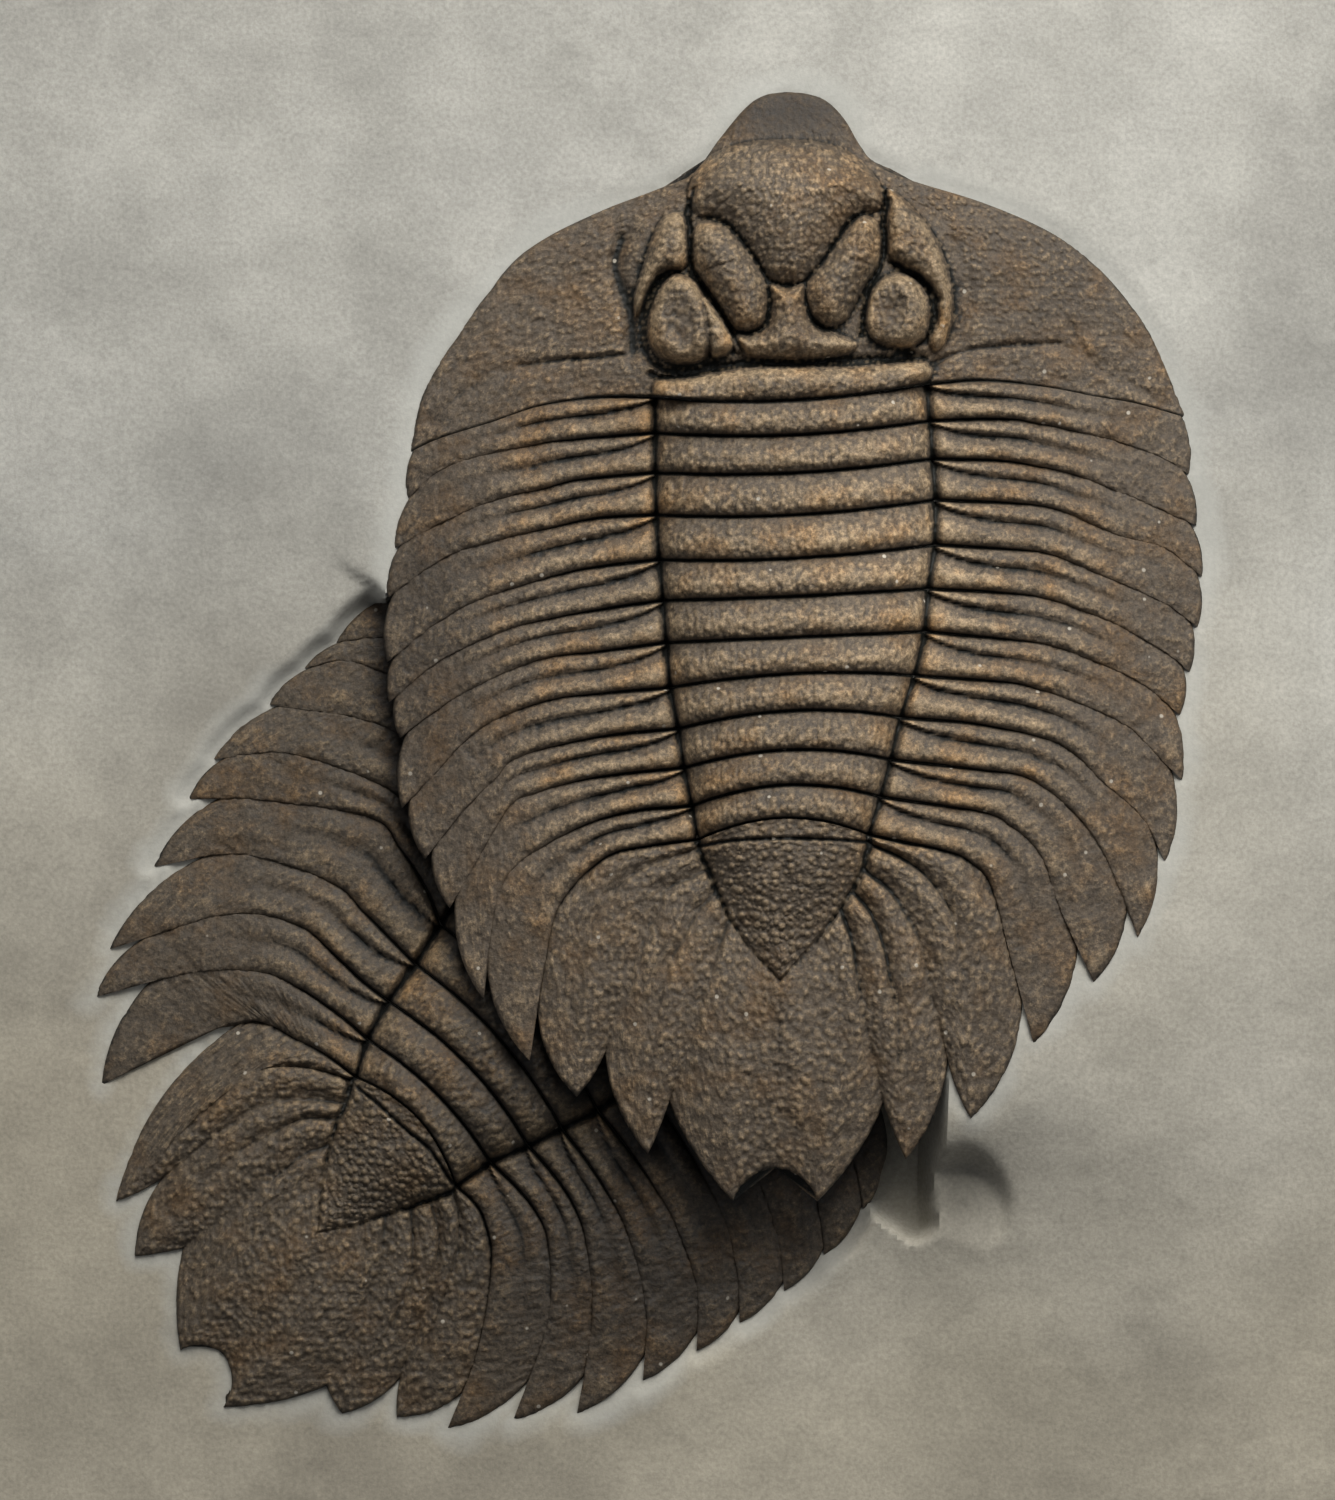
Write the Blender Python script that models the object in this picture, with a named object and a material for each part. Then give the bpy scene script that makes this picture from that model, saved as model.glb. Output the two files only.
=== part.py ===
"""Two broad, saw-edged trilobites on a slab of pale shale, one lying across the other.

The slab lies flat and the fossils face up. Each hard plate of an animal is a piece of its own:
the head shield, every ring of the thorax and the tail shield. +X runs to the right, +Y runs
towards the upper animal's head, and the middle of the slab's underside is the origin.
"""

import math

import bmesh
import bpy
import numpy as np
from mathutils import Vector
from mathutils.bvhtree import BVHTree

# Driving dimensions, in metres
MM = 0.001
POINT_PITCH = 0.135 * MM        # one step of the plan points below, on the real rock
PLAN_CENTRE = (667.5, 750.0)    # the plan point that lies over the origin
SLAB_WIDTH = 0.215
SLAB_LENGTH = 0.240
SLAB_THICKNESS = 0.026          # from the underside to the level of the bare rock
SHELL_THICKNESS = 1.3 * MM
SEAM_GAP = 0.25 * MM            # half of the crack between two neighbouring plates
TIP_GAP_GAIN = 1.2              # how much wider that crack is between the free tips
BED_GAP = 0.4 * MM              # clearance between a plate and the rock under it
COLLECTION = "arctinurus_trilobite_fossil"

# Cross section of a plate, in metres
RING_HEIGHT = 0.9 * MM          # how far a ring bulges between its two seams
RIB_HEIGHT = 1.1 * MM           # the same for the ribs of the side lobes
FURROW_DEPTH = 1.0 * MM         # the groove between the middle lobe and the side lobes
UNDERSIDE_ARCH = 0.55           # how much of the upper arch the underside follows

# Stations across an animal: -2 left tip, -1 and 1 the axial grooves, 0 the midline, 2 right tip
SIDE_STATIONS = (1.0, 1.11, 1.33, 1.58, 1.82, 2.0)
RING_STATIONS = (-0.88, -0.5, 0.0, 0.5, 0.88)
ROWS_PER_PLATE = 4
TANGENT_STEP = 0.02
MARGIN_BOW = 0.09               # outward bow of a plate's free margin, as a share of its length
TIP_REACH = 12                  # how late the stations spread from the notch to the tip

# Plan of the upper animal, as points read off the photograph. A seam lists its left half from
# the axial groove to the tip, the crown of its ring, its right half, and how far the next
# plate's margin is set back from the two tips.
UPPER_SEAMS = (
    (((655, 397), (600, 397), (540, 406), (495, 421), (440, 438), (409, 452)), (787, 402),
     ((927, 384), (980, 380), (1040, 386), (1100, 397), (1140, 404), (1187, 417)), (4, 4)),
    (((655, 433), (560, 441), (520, 448), (480, 456), (440, 470), (407, 498)), (790, 436),
     ((930, 421), (1000, 419), (1040, 424), (1120, 442), (1165, 458), (1190, 474)), (6, 6)),
    (((655, 473), (580, 480), (540, 490), (500, 499), (450, 518), (394, 548)), (792, 474),
     ((933, 459), (1000, 461), (1040, 467), (1080, 477), (1140, 500), (1197, 525)), (6, 7)),
    (((656, 515), (600, 518), (560, 526), (480, 545), (440, 560), (387, 598)), (793, 516),
     ((936, 500), (1020, 504), (1060, 511), (1120, 536), (1165, 548), (1203, 577)), (7, 7)),
    (((659, 560), (600, 567), (560, 575), (480, 600), (440, 621), (387, 662)), (795, 559),
     ((935, 545), (1000, 549), (1050, 555), (1110, 579), (1165, 603), (1198, 627)), (7, 8)),
    (((663, 601), (600, 610), (520, 626), (460, 650), (430, 668), (389, 702)), (795, 597),
     ((928, 589), (1000, 593), (1050, 600), (1110, 622), (1165, 652), (1190, 672)), (7, 8)),
    (((666, 643), (600, 652), (540, 660), (470, 690), (430, 715), (400, 738)), (795, 638),
     ((925, 632), (1000, 639), (1050, 646), (1110, 668), (1145, 686), (1180, 715)), (8, 10)),
    (((670, 688), (600, 694), (540, 703), (480, 729), (440, 768), (402, 808)), (795, 674),
     ((914, 676), (1000, 682), (1040, 690), (1120, 722), (1158, 757), (1182, 780)), (9, 14)),
    (((678, 729), (600, 737), (520, 757), (495, 780), (462, 812), (425, 859)), (793, 711),
     ((900, 718), (980, 725), (1060, 745), (1100, 780), (1140, 815), (1165, 862)), (10, 20)),
    (((684, 768), (600, 777), (540, 792), (510, 807), (474, 866), (450, 908)), (790, 750),
     ((890, 760), (980, 770), (1030, 780), (1085, 825), (1120, 890), (1137, 937)), (10, 32)),
    (((692, 806), (630, 812), (570, 832), (508, 875), (490, 940), (484, 1000)), (785, 785),
     ((880, 797), (980, 812), (1010, 826), (1040, 855), (1060, 910), (1093, 982)), (34, 38)),
    (((698, 840), (650, 846), (605, 858), (560, 905), (543, 975), (530, 1060)), (783, 818),
     ((868, 835), (940, 850), (970, 862), (990, 885), (1012, 965), (1033, 1043)), (53, 45)),
)
UPPER_FIRST_RING = 1

# Lines that fan back over the upper tail shield: rib furrow to a spine, then seam to a notch
UPPER_TAIL_LEFT = (
    ((699, 848), (645, 868), (610, 900), (588, 950), (577, 1096)),
    ((708, 868), (668, 893), (645, 930), (628, 980), (605, 1053)),
    ((717, 890), (690, 920), (670, 970), (656, 1040), (648, 1153)),
    ((730, 918), (710, 965), (694, 1030), (669, 1101)),
    ((750, 947), (736, 1000), (727, 1090), (733, 1200)),
    ((780, 978), (778, 1060), (775, 1167)),
)
UPPER_TAIL_RIGHT = (
    ((868, 843), (905, 860), (937, 893), (955, 940), (970, 1118)),
    ((862, 868), (890, 893), (915, 930), (930, 990), (947, 1060)),
    ((851, 890), (872, 915), (888, 955), (898, 1040), (905, 1158)),
    ((840, 907), (855, 955), (866, 1025), (883, 1103)),
    ((815, 940), (830, 1000), (838, 1080), (817, 1200)),
    ((780, 978), (778, 1060), (775, 1167)),
)
UPPER_TAIL_SPINE = ((783, 818), (781, 950))

# Head shield: its margin from each cheek corner to the snout, and the midline
HEAD_LEFT = ((409, 452), (420, 400), (440, 360), (500, 275), (540, 240), (600, 210), (660, 187),
             (693, 172), (720, 137), (745, 107), (786, 90))
HEAD_RIGHT = ((1187, 417), (1170, 375), (1150, 330), (1115, 283), (1080, 250), (1040, 225),
              (980, 200), (900, 175), (868, 155), (845, 118), (820, 98), (786, 90))
HEAD_MIDLINE_SHARES = (0.0, 0.25, 0.5, 0.65, 0.8, 0.88, 1.0)
HEAD_MIDLINE = (402, 320, 250, 205, 162, 138, 90)
HEAD_SIDE_STATIONS = (1.15, 1.4, 1.7, 2.0)
HEAD_MIDDLE_COLUMNS = 16
HEAD_ROWS = 13

# Lumps of the head: centre, half length, half width (plan points), turn (degrees), height (mm)
HEAD_LUMPS = {
    "front_lobe": (783, 198, 100, 62, 0, 4.4),
    "front_lobe_neck": (787, 250, 52, 26, 90, 3.9),
    "back_lobe": (788, 334, 60, 25, 0, 3.2),
    "left_side_lobe": (731, 276, 57, 30, 54, 4.0),
    "right_side_lobe": (847, 267, 57, 30, -56, 4.0),
    "left_eye": (683, 325, 42, 37, 90, 4.9),
    "right_eye": (902, 314, 45, 32, 80, 4.7),
    "left_cheek_ridge": (668, 243, 36, 16, 70, 2.8),
    "right_cheek_ridge": (915, 250, 52, 22, 50, 2.6),
    "neck_ring": (790, 386, 138, 18, 0, 3.4),
}
HEAD_PLATFORM = 2.4 * MM        # the swelling that all of those lumps stand on
HEAD_PLATFORM_HALF_WIDTH = 150

# Plan of the lower animal, its front plates hidden by the upper one. Its left is up the slab.
LOWER_SEAMS = (
    (((590, 725), (545, 665), (500, 625), (450, 603), (410, 596), (371, 603)), (702, 822),
     ((790, 940), (835, 1000), (865, 1060), (883, 1115), (888, 1150), (880, 1180)), (4, 4)),
    (((560, 765), (525, 718), (485, 680), (440, 652), (390, 637), (335, 642)), (670, 860),
     ((755, 975), (797, 1030), (828, 1090), (850, 1150), (860, 1185), (864, 1213)), (5, 6)),
    (((530, 805), (500, 760), (465, 722), (425, 692), (350, 661), (303, 668)), (636, 898),
     ((718, 1010), (757, 1065), (787, 1120), (810, 1175), (822, 1225), (825, 1258)), (8, 8)),
    (((500, 845), (478, 803), (445, 768), (405, 738), (355, 718), (267, 704)), (602, 936),
     ((680, 1045), (717, 1095), (746, 1150), (768, 1205), (781, 1255), (785, 1293)), (10, 10)),
    (((470, 885), (452, 846), (420, 815), (375, 783), (285, 753), (212, 759)), (567, 974),
     ((640, 1080), (672, 1125), (702, 1175), (724, 1220), (738, 1275), (740, 1325)), (12, 12)),
    (((440, 925), (425, 888), (400, 850), (370, 818), (260, 800), (187, 799)), (530, 1009),
     ((598, 1112), (622, 1142), (650, 1182), (676, 1227), (697, 1290), (697, 1353)), (30, 20)),
    (((415, 965), (390, 940), (362, 912), (330, 883), (240, 854), (152, 867)), (499, 1038),
     ((562, 1130), (582, 1156), (606, 1192), (628, 1237), (646, 1310), (643, 1383)), (52, 27)),
    (((388, 1002), (362, 982), (330, 952), (295, 925), (225, 915), (107, 950)), (468, 1065),
     ((528, 1147), (550, 1172), (571, 1202), (585, 1242), (592, 1320), (577, 1416)), (38, 39)),
    (((367, 1040), (340, 1017), (300, 990), (260, 973), (190, 973), (93, 998)), (436, 1093),
     ((490, 1163), (515, 1187), (535, 1212), (548, 1247), (547, 1325), (513, 1422)), (57, 43)),
    (((355, 1078), (330, 1059), (300, 1042), (250, 1021), (185, 1043), (100, 1086)), (419, 1119),
     ((455, 1187), (472, 1202), (484, 1222), (491, 1265), (478, 1350), (447, 1431)), (155, 40)),
)
LOWER_FIRST_RING = 3

LOWER_TAIL_LEFT = (
    ((352, 1081), (325, 1073), (290, 1068), (250, 1074), (205, 1110), (114, 1203)),
    ((346, 1104), (310, 1102), (270, 1104), (230, 1125), (160, 1180)),
    ((338, 1120), (300, 1121), (265, 1138), (225, 1165), (133, 1258)),
    ((330, 1145), (300, 1160), (265, 1187), (181, 1250)),
    ((322, 1185), (290, 1205), (250, 1250), (179, 1352)),
    ((318, 1232), (280, 1280), (222, 1356)),
)
LOWER_TAIL_RIGHT = (
    ((452, 1192), (458, 1215), (455, 1260), (440, 1310), (396, 1419)),
    ((430, 1200), (437, 1240), (430, 1290), (399, 1381)),
    ((410, 1207), (412, 1250), (400, 1300), (341, 1416)),
    ((385, 1215), (380, 1260), (360, 1310), (325, 1388)),
    ((355, 1225), (345, 1270), (300, 1330), (222, 1409)),
    ((318, 1232), (280, 1280), (222, 1356)),
)
LOWER_TAIL_SPINE = ((419, 1119), (335, 1212))

# Outward bow of the tail margin between one fan line's end and the next, as a share of the span
TAIL_BOWS = (0.10, 0.04, 0.08, 0.02, 0.05, -0.16)

# Levels of the bare rock, in millimetres above its general surface, at points of the plan
ROCK_LEVELS = (
    (-100, -100, 0.4), (667, -60, 0.8), (1435, -100, 0.4), (785, 70, 0.7), (560, 200, 0.8),
    (1010, 190, 0.9), (430, 380, 1.0), (1200, 400, 1.4), (360, 500, 1.3), (300, 620, 0.3),
    (180, 740, 0.0), (60, 950, 0.0), (80, 1200, 0.0), (200, 1430, 0.0), (520, 1470, 0.0),
    (760, 1380, 0.1), (-100, 700, 0.3), (-100, 1600, 0.0), (667, 1650, 0.0), (1225, 560, 2.8),
    (1215, 720, 4.8), (1190, 860, 6.6), (1150, 980, 7.8), (1080, 1040, 8.3), (1010, 1090, 8.4),
    (960, 1120, 8.3), (1330, 600, 2.5), (1330, 900, 5.0), (1435, 800, 3.5), (1300, 1050, 5.0),
    (1180, 1120, 6.0), (1100, 1180, 4.6), (1010, 1190, 4.6), (985, 1240, 2.8), (900, 1260, 0.9),
    (1050, 1310, 1.4), (1250, 1300, 2.0), (1435, 1200, 2.4), (1100, 1450, 0.4), (1435, 1600, 0.3),
)
# The hollow under the free tail: a tapered trough from one round end to the other
HOLLOW_ENDS = ((850, 1100, 75), (915, 1222, 8))
HOLLOW_FLOOR = -4.0 * MM
HOLLOW_WALL_SLOPE = 3.0
# The steep end of the ledge that carries the right side of the tail
LEDGE_FOOT = ((915, 1225, 45), (960, 1215, 45))
LEDGE_FOOT_LEVEL = 2.4 * MM
LEDGE_SLOPE = 1.5

SLAB_COLUMNS = 24
SLAB_ROWS = 27
BED_LATTICE = 8                 # soundings per slab facet when the bed is fitted to the plates

UPPER_MARGIN_AT_HEAD = 1.0 * MM     # height of the upper animal's margin over the bare rock
UPPER_MARGIN_RISE = 9.5 * MM        # how much higher its tail is
UPPER_TILT_FROM = 0.065             # where along Y the rise starts and ends
UPPER_TILT_TO = -0.065
UPPER_SIDE_RISE = 3.4 * MM
UPPER_RING_RISE = 5.4 * MM

LOWER_MARGIN_AT_TAIL = 0.5 * MM
LOWER_MARGIN_FALL = 2.5 * MM
LOWER_TAIL_POINT = (200, 1393)
LOWER_FORWARD = (0.66, 0.75)        # direction of its head, in X and Y
LOWER_FALL_FROM = 0.025             # distance ahead of its tail where it starts to dip
LOWER_FALL_TO = 0.100
LOWER_SIDE_RISE = 2.6 * MM
LOWER_RING_RISE = 4.2 * MM

COLOURS = {
    "shale": ((0.36, 0.35, 0.32), 0.92),
    "upper_shell": ((0.115, 0.095, 0.078), 0.62),
    "lower_shell": ((0.090, 0.074, 0.061), 0.66),
}


def metres(point):
    """A plan point as X and Y in metres."""
    return np.array(((point[0] - PLAN_CENTRE[0]) * POINT_PITCH,
                     (PLAN_CENTRE[1] - point[1]) * POINT_PITCH))


def smoothstep(value):
    """0 below 0, 1 above 1 and a soft ramp between."""
    value = np.clip(value, 0.0, 1.0)
    return value * value * (3.0 - 2.0 * value)


def smooth_line(points, steps=8):
    """A smooth line through plan points, in metres."""
    knots = np.array([metres(point) for point in points])
    knots = np.vstack((2 * knots[0] - knots[1], knots, 2 * knots[-1] - knots[-2]))
    share = (np.arange(steps) / steps)[:, None]
    pieces = []
    for before, start, end, after in zip(knots, knots[1:], knots[2:], knots[3:]):
        pieces.append(0.5 * (2 * start + (end - before) * share
                             + (2 * before - 5 * start + 4 * end - after) * share ** 2
                             + (3 * start - before - 3 * end + after) * share ** 3))
    pieces.append(knots[-2][None, :])
    return np.vstack(pieces)


def along(line, share):
    """Points at the given shares of a line's length."""
    reach = np.concatenate(([0.0], np.cumsum(np.linalg.norm(np.diff(line, axis=0), axis=1))))
    at = share * reach[-1]
    return np.stack((np.interp(at, reach, line[:, 0]), np.interp(at, reach, line[:, 1])), axis=-1)


def length_of(line):
    return np.linalg.norm(np.diff(line, axis=0), axis=1).sum()


class Seam:
    """The line between two plates, from the left tip over the ring to the right tip."""

    def __init__(self, entry):
        left, crown, right, setback = entry
        self.left = smooth_line(left)
        self.right = smooth_line(right)
        self.ring = (metres(left[0]), metres(crown), metres(right[0]))
        self.setback = (setback[0] * POINT_PITCH / length_of(self.left),
                        setback[1] * POINT_PITCH / length_of(self.right))

    def points(self, across, cut, back=0.0):
        """Plan points at stations across, moved back from the seam, towards the tail.

        With a cut of 1 the two ends stop at the notches instead of the tips.
        """
        if back:
            before = self.points(across - TANGENT_STEP, cut)
            after = self.points(across + TANGENT_STEP, cut)
            run = (after - before) / np.linalg.norm(after - before, axis=1, keepdims=True)
            out = np.clip(np.abs(across) - 1.0, 0.0, 1.0)[:, None]
            back = back * (1.0 + TIP_GAP_GAIN * out ** 2)
            return self.points(across, cut) + back * np.stack((run[:, 1], -run[:, 0]), axis=1)
        out = np.clip(np.abs(across) - 1.0, 0.0, 1.0)
        beyond_notch = (1.0 - cut) * out ** TIP_REACH
        left = along(self.left, out * (1.0 - self.setback[0]) + self.setback[0] * beyond_notch)
        right = along(self.right, out * (1.0 - self.setback[1]) + self.setback[1] * beyond_notch)
        c = np.clip(across, -1.0, 1.0)[:, None]
        ring = (self.ring[0] * c * (c - 1.0) / 2.0 + self.ring[1] * (1.0 - c * c)
                + self.ring[2] * c * (c + 1.0) / 2.0)
        outside = across[:, None]
        return np.where(outside < -1.0, left, np.where(outside > 1.0, right, ring))


class Animal:
    """The plan and the arch of one trilobite."""

    def __init__(self, seams, tail_left, tail_right, tail_spine, margin, side_rise, ring_rise):
        self.seams = [Seam(entry) for entry in seams]
        self.tail_left = [smooth_line(points) for points in tail_left]
        self.tail_right = [smooth_line(points) for points in tail_right]
        self.tail_spine = [metres(point) for point in tail_spine]
        self.margin = margin
        self.side_rise = side_rise
        self.ring_rise = ring_rise

    def arch(self, across, fade):
        """Height of the smooth arch over the margin; fade lowers the middle lobe."""
        side = np.clip(np.abs(across) - 1.0, 0.0, 1.0)
        middle = np.clip(np.abs(across), 0.0, 1.0)
        height = self.side_rise * (1.0 - side ** 2.4)
        height += self.ring_rise * fade * (1.0 - middle ** 3) ** 0.8
        groove = np.where(np.abs(across) > 1.0, side / 0.06, (1.0 - middle) / 0.12)
        return height - FURROW_DEPTH * np.exp(-groove ** 2)


def upper_margin(plan):
    """Height of the upper animal's margin: it rises from the head to the free tail."""
    share = (UPPER_TILT_FROM - plan[:, 1]) / (UPPER_TILT_FROM - UPPER_TILT_TO)
    return SLAB_THICKNESS + UPPER_MARGIN_AT_HEAD + UPPER_MARGIN_RISE * smoothstep(share)


def lower_margin(plan):
    """Height of the lower animal's margin: it dips forward, under the upper one."""
    ahead = (plan - metres(LOWER_TAIL_POINT)) @ np.array(LOWER_FORWARD)
    share = (ahead - LOWER_FALL_FROM) / (LOWER_FALL_TO - LOWER_FALL_FROM)
    return SLAB_THICKNESS + LOWER_MARGIN_AT_TAIL - LOWER_MARGIN_FALL * smoothstep(share)


def furrow_place(across):
    """Where the oblique furrow of a plate lies between its two seams."""
    side = np.clip(np.abs(across) - 1.0, 0.0, 1.0)
    on_side = 0.14 + 0.36 * (1.0 - np.exp(-side / 0.09)) - 0.10 * side
    on_ring = 0.14 + 0.30 * np.clip((1.0 - np.abs(across)) / 0.2, 0.0, 1.0)
    return np.where(np.abs(across) > 1.0, on_side, on_ring)


def rib(share):
    """A rounded ridge between two creases."""
    return 1.0 - np.abs(2.0 * share - 1.0) ** 2.2


def material(name):
    colour, roughness = COLOURS[name]
    found = bpy.data.materials.get(name)
    if found:
        return found
    made = bpy.data.materials.new(name)
    made.use_nodes = True
    shader = made.node_tree.nodes["Principled BSDF"]
    shader.inputs["Base Color"].default_value = (*colour, 1.0)
    shader.inputs["Roughness"].default_value = roughness
    shader.inputs["Metallic"].default_value = 0.0
    made.diffuse_color = (*colour, 1.0)
    return made


def finish(bm, name, slot, collection):
    """Turn a closed bmesh into a named object of its own."""
    bmesh.ops.recalc_face_normals(bm, faces=bm.faces[:])
    mesh = bpy.data.meshes.new(name)
    bm.to_mesh(mesh)
    bm.free()
    mesh.materials.append(material(slot))
    mesh.shade_smooth()
    mesh.set_sharp_from_angle(angle=math.radians(40.0))
    piece = bpy.data.objects.new(name, mesh)
    collection.objects.link(piece)
    return piece


def plate(name, slot, collection, columns, rows, place, folded=False):
    """A closed plate: a grid laid out by place(across, down), raised to its upper surface."""
    bm = bmesh.new()
    bmesh.ops.create_grid(bm, x_segments=len(columns) - 1, y_segments=rows, size=0.5)
    grid = np.array([tuple(vertex.co) for vertex in bm.verts])
    across = np.interp(grid[:, 0] + 0.5, np.linspace(0.0, 1.0, len(columns)), columns)
    down = 0.5 - grid[:, 1]
    plan, top, under = place(across, down)
    top_layer = bm.verts.layers.float.new("top")
    down_layer = bm.verts.layers.float.new("down")
    for index, vertex in enumerate(bm.verts):
        vertex.co = (plan[index, 0], plan[index, 1], under[index])
        vertex[top_layer] = top[index]
        vertex[down_layer] = down[index]
    if folded:
        bmesh.ops.remove_doubles(bm, verts=bm.verts[:], dist=1e-6)
    lower_faces = set(bm.faces)
    raised = bmesh.ops.extrude_face_region(bm, geom=bm.faces[:], use_keep_orig=True)
    for item in raised["geom"]:
        if isinstance(item, bmesh.types.BMVert):
            item.co.z = item[top_layer]
    if not folded:
        thin_out_underside(bm, lower_faces, down_layer)
    return finish(bm, name, slot, collection)


def thin_out_underside(bm, lower_faces, down_layer):
    """Merge the underside's rows, which are smooth, into one strip from seam to seam."""
    inner = []
    for edge in bm.edges:
        a, b = edge.verts
        level = a[down_layer]
        same_row = abs(level - b[down_layer]) < 1e-6
        if not same_row or level < 1e-6 or level > 1.0 - 1e-6:
            continue
        if len(edge.link_faces) == 2 and all(face in lower_faces for face in edge.link_faces):
            inner.append(edge)
    bmesh.ops.dissolve_edges(bm, edges=inner, use_verts=True)


def side_by_side():
    """All stations across an animal, from the left tip to the right tip."""
    return tuple(-s for s in reversed(SIDE_STATIONS)) + RING_STATIONS + SIDE_STATIONS


def thorax_plate(animal, index, name, slot, collection):
    """One ring of the thorax with its two side lobes, between two seams."""
    front_seam = animal.seams[index]
    rear_seam = animal.seams[index + 1]

    def place(across, down):
        front = front_seam.points(across, 1.0, SEAM_GAP)
        rear = rear_seam.points(across, 0.0, -SEAM_GAP)
        furrow = furrow_place(across)
        rows = np.array([np.zeros_like(furrow), furrow / 2, furrow, (1 + furrow) / 2 + 0.08,
                         np.ones_like(furrow)])
        row = np.rint(down * ROWS_PER_PLATE).astype(int)
        share = rows[row, np.arange(len(row))]
        side = np.clip(np.abs(across) - 1.0, 0.0, 1.0)
        step = rear - front
        outward = np.stack((-step[:, 1], step[:, 0]), axis=1) * np.sign(across)[:, None]
        bow = MARGIN_BOW * 4.0 * share * (1.0 - share) * side ** 6
        plan = front + step * share[:, None] + outward * bow[:, None]
        arch = animal.arch(across, 1.0)
        crest = np.array((-0.25, 0.25, -0.2, 0.75, -0.1))[row] * RIB_HEIGHT * (1.0 - 0.65 * side)
        ring = (rib(share) - 0.3) * RING_HEIGHT
        relief = np.where(np.abs(across) > 1.0, crest, ring)
        base = animal.margin(plan)
        top = base + arch + relief
        under = base + UNDERSIDE_ARCH * arch - SHELL_THICKNESS
        return plan, top, under

    return plate(name, slot, collection, side_by_side(), ROWS_PER_PLATE, place)


def tail_plan(animal, across, turn):
    """Plan points of a tail shield: turn runs from 0 at its front seam to 6 at the midline."""
    plan = np.zeros((len(across), 2))
    for sign, fans in ((-1, animal.tail_left), (1, animal.tail_right)):
        out = np.clip(np.abs(across) - 1.0, 0.0, 1.0)
        front = animal.seams[-1].points(sign * (1.0 + out), 1.0, SEAM_GAP)
        lines = np.stack([front] + [along(fan, out) for fan in fans])
        lower = np.clip(np.floor(turn).astype(int), 0, len(fans) - 1)
        blend = (turn - lower)[:, None]
        pick = np.arange(len(across))
        spread = lines[lower, pick] * (1.0 - blend) + lines[lower + 1, pick] * blend
        chord = lines[lower + 1, pick] - lines[lower, pick]
        bow = np.array(TAIL_BOWS)[lower] * 4.0 * blend[:, 0] * (1.0 - blend[:, 0]) * out ** 4
        outward = np.stack((chord[:, 1], -chord[:, 0]), axis=1) * (-sign)
        spread = spread + outward * bow[:, None]
        spine = (animal.tail_spine[0] * (1.0 - turn[:, None] / len(fans))
                 + animal.tail_spine[1] * turn[:, None] / len(fans))
        grooves = np.stack([animal.seams[-1].points(np.full(1, float(sign)), 1.0)[0]]
                           + [fan[0] for fan in fans])
        groove = grooves[lower] * (1.0 - blend) + grooves[lower + 1] * blend
        share = np.clip(np.abs(across), 0.0, 1.0)[:, None]
        on_ring = sign * np.clip(np.abs(across), 0.0, 1.0)
        front_ring = animal.seams[-1].points(on_ring, 1.0, SEAM_GAP)
        straight = spine * (1.0 - share) + groove * share
        first = np.clip(1.0 - turn[:, None], 0.0, 1.0)
        middle = front_ring * first + straight * (1.0 - first)
        chosen = np.where(np.abs(across)[:, None] > 1.0, spread, middle)
        here = (across * sign > 0) | ((across == 0) & (sign > 0))
        plan[here] = chosen[here]
    return plan


def tail_shield(animal, name, slot, collection):
    """The fused tail shield, ribbed like a fan, with its spines and notches."""
    turns = len(animal.tail_left)

    def place(across, down):
        turn = down * turns
        plan = tail_plan(animal, across, turn)
        fade = 0.86 * (1.0 - 0.75 * smoothstep(down) ** 1.5)
        arch = animal.arch(across, fade)
        side = np.clip(np.abs(across) - 1.0, 0.0, 1.0)
        relief = (rib(turn % 1.0) - 0.3) * RIB_HEIGHT * (1.0 - 0.7 * side)
        relief = np.where(np.abs(across) > 1.0, relief, 0.2 * RING_HEIGHT)
        base = animal.margin(plan)
        top = base + arch + relief
        under = base + UNDERSIDE_ARCH * arch - SHELL_THICKNESS
        return plan, top, under

    return plate(name, slot, collection, side_by_side(), 2 * turns, place, folded=True)


def lump_height(plan, lumps):
    """Height of a set of domes over what they stand on."""
    total = np.zeros(len(plan))
    for cx, cy, half_length, half_width, turn, height in lumps.values():
        away = plan - metres((cx, cy))
        angle = -math.radians(turn)
        u = (away[:, 0] * math.cos(angle) + away[:, 1] * math.sin(angle)) / (half_length * POINT_PITCH)
        v = (away[:, 1] * math.cos(angle) - away[:, 0] * math.sin(angle)) / (half_width * POINT_PITCH)
        radius = np.sqrt(u * u + v * v)
        dome = np.clip(1.0 - radius ** 2.4, 0.0, 1.0) ** 0.6 * height * MM
        total = np.maximum(total, dome)
    return total


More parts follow.
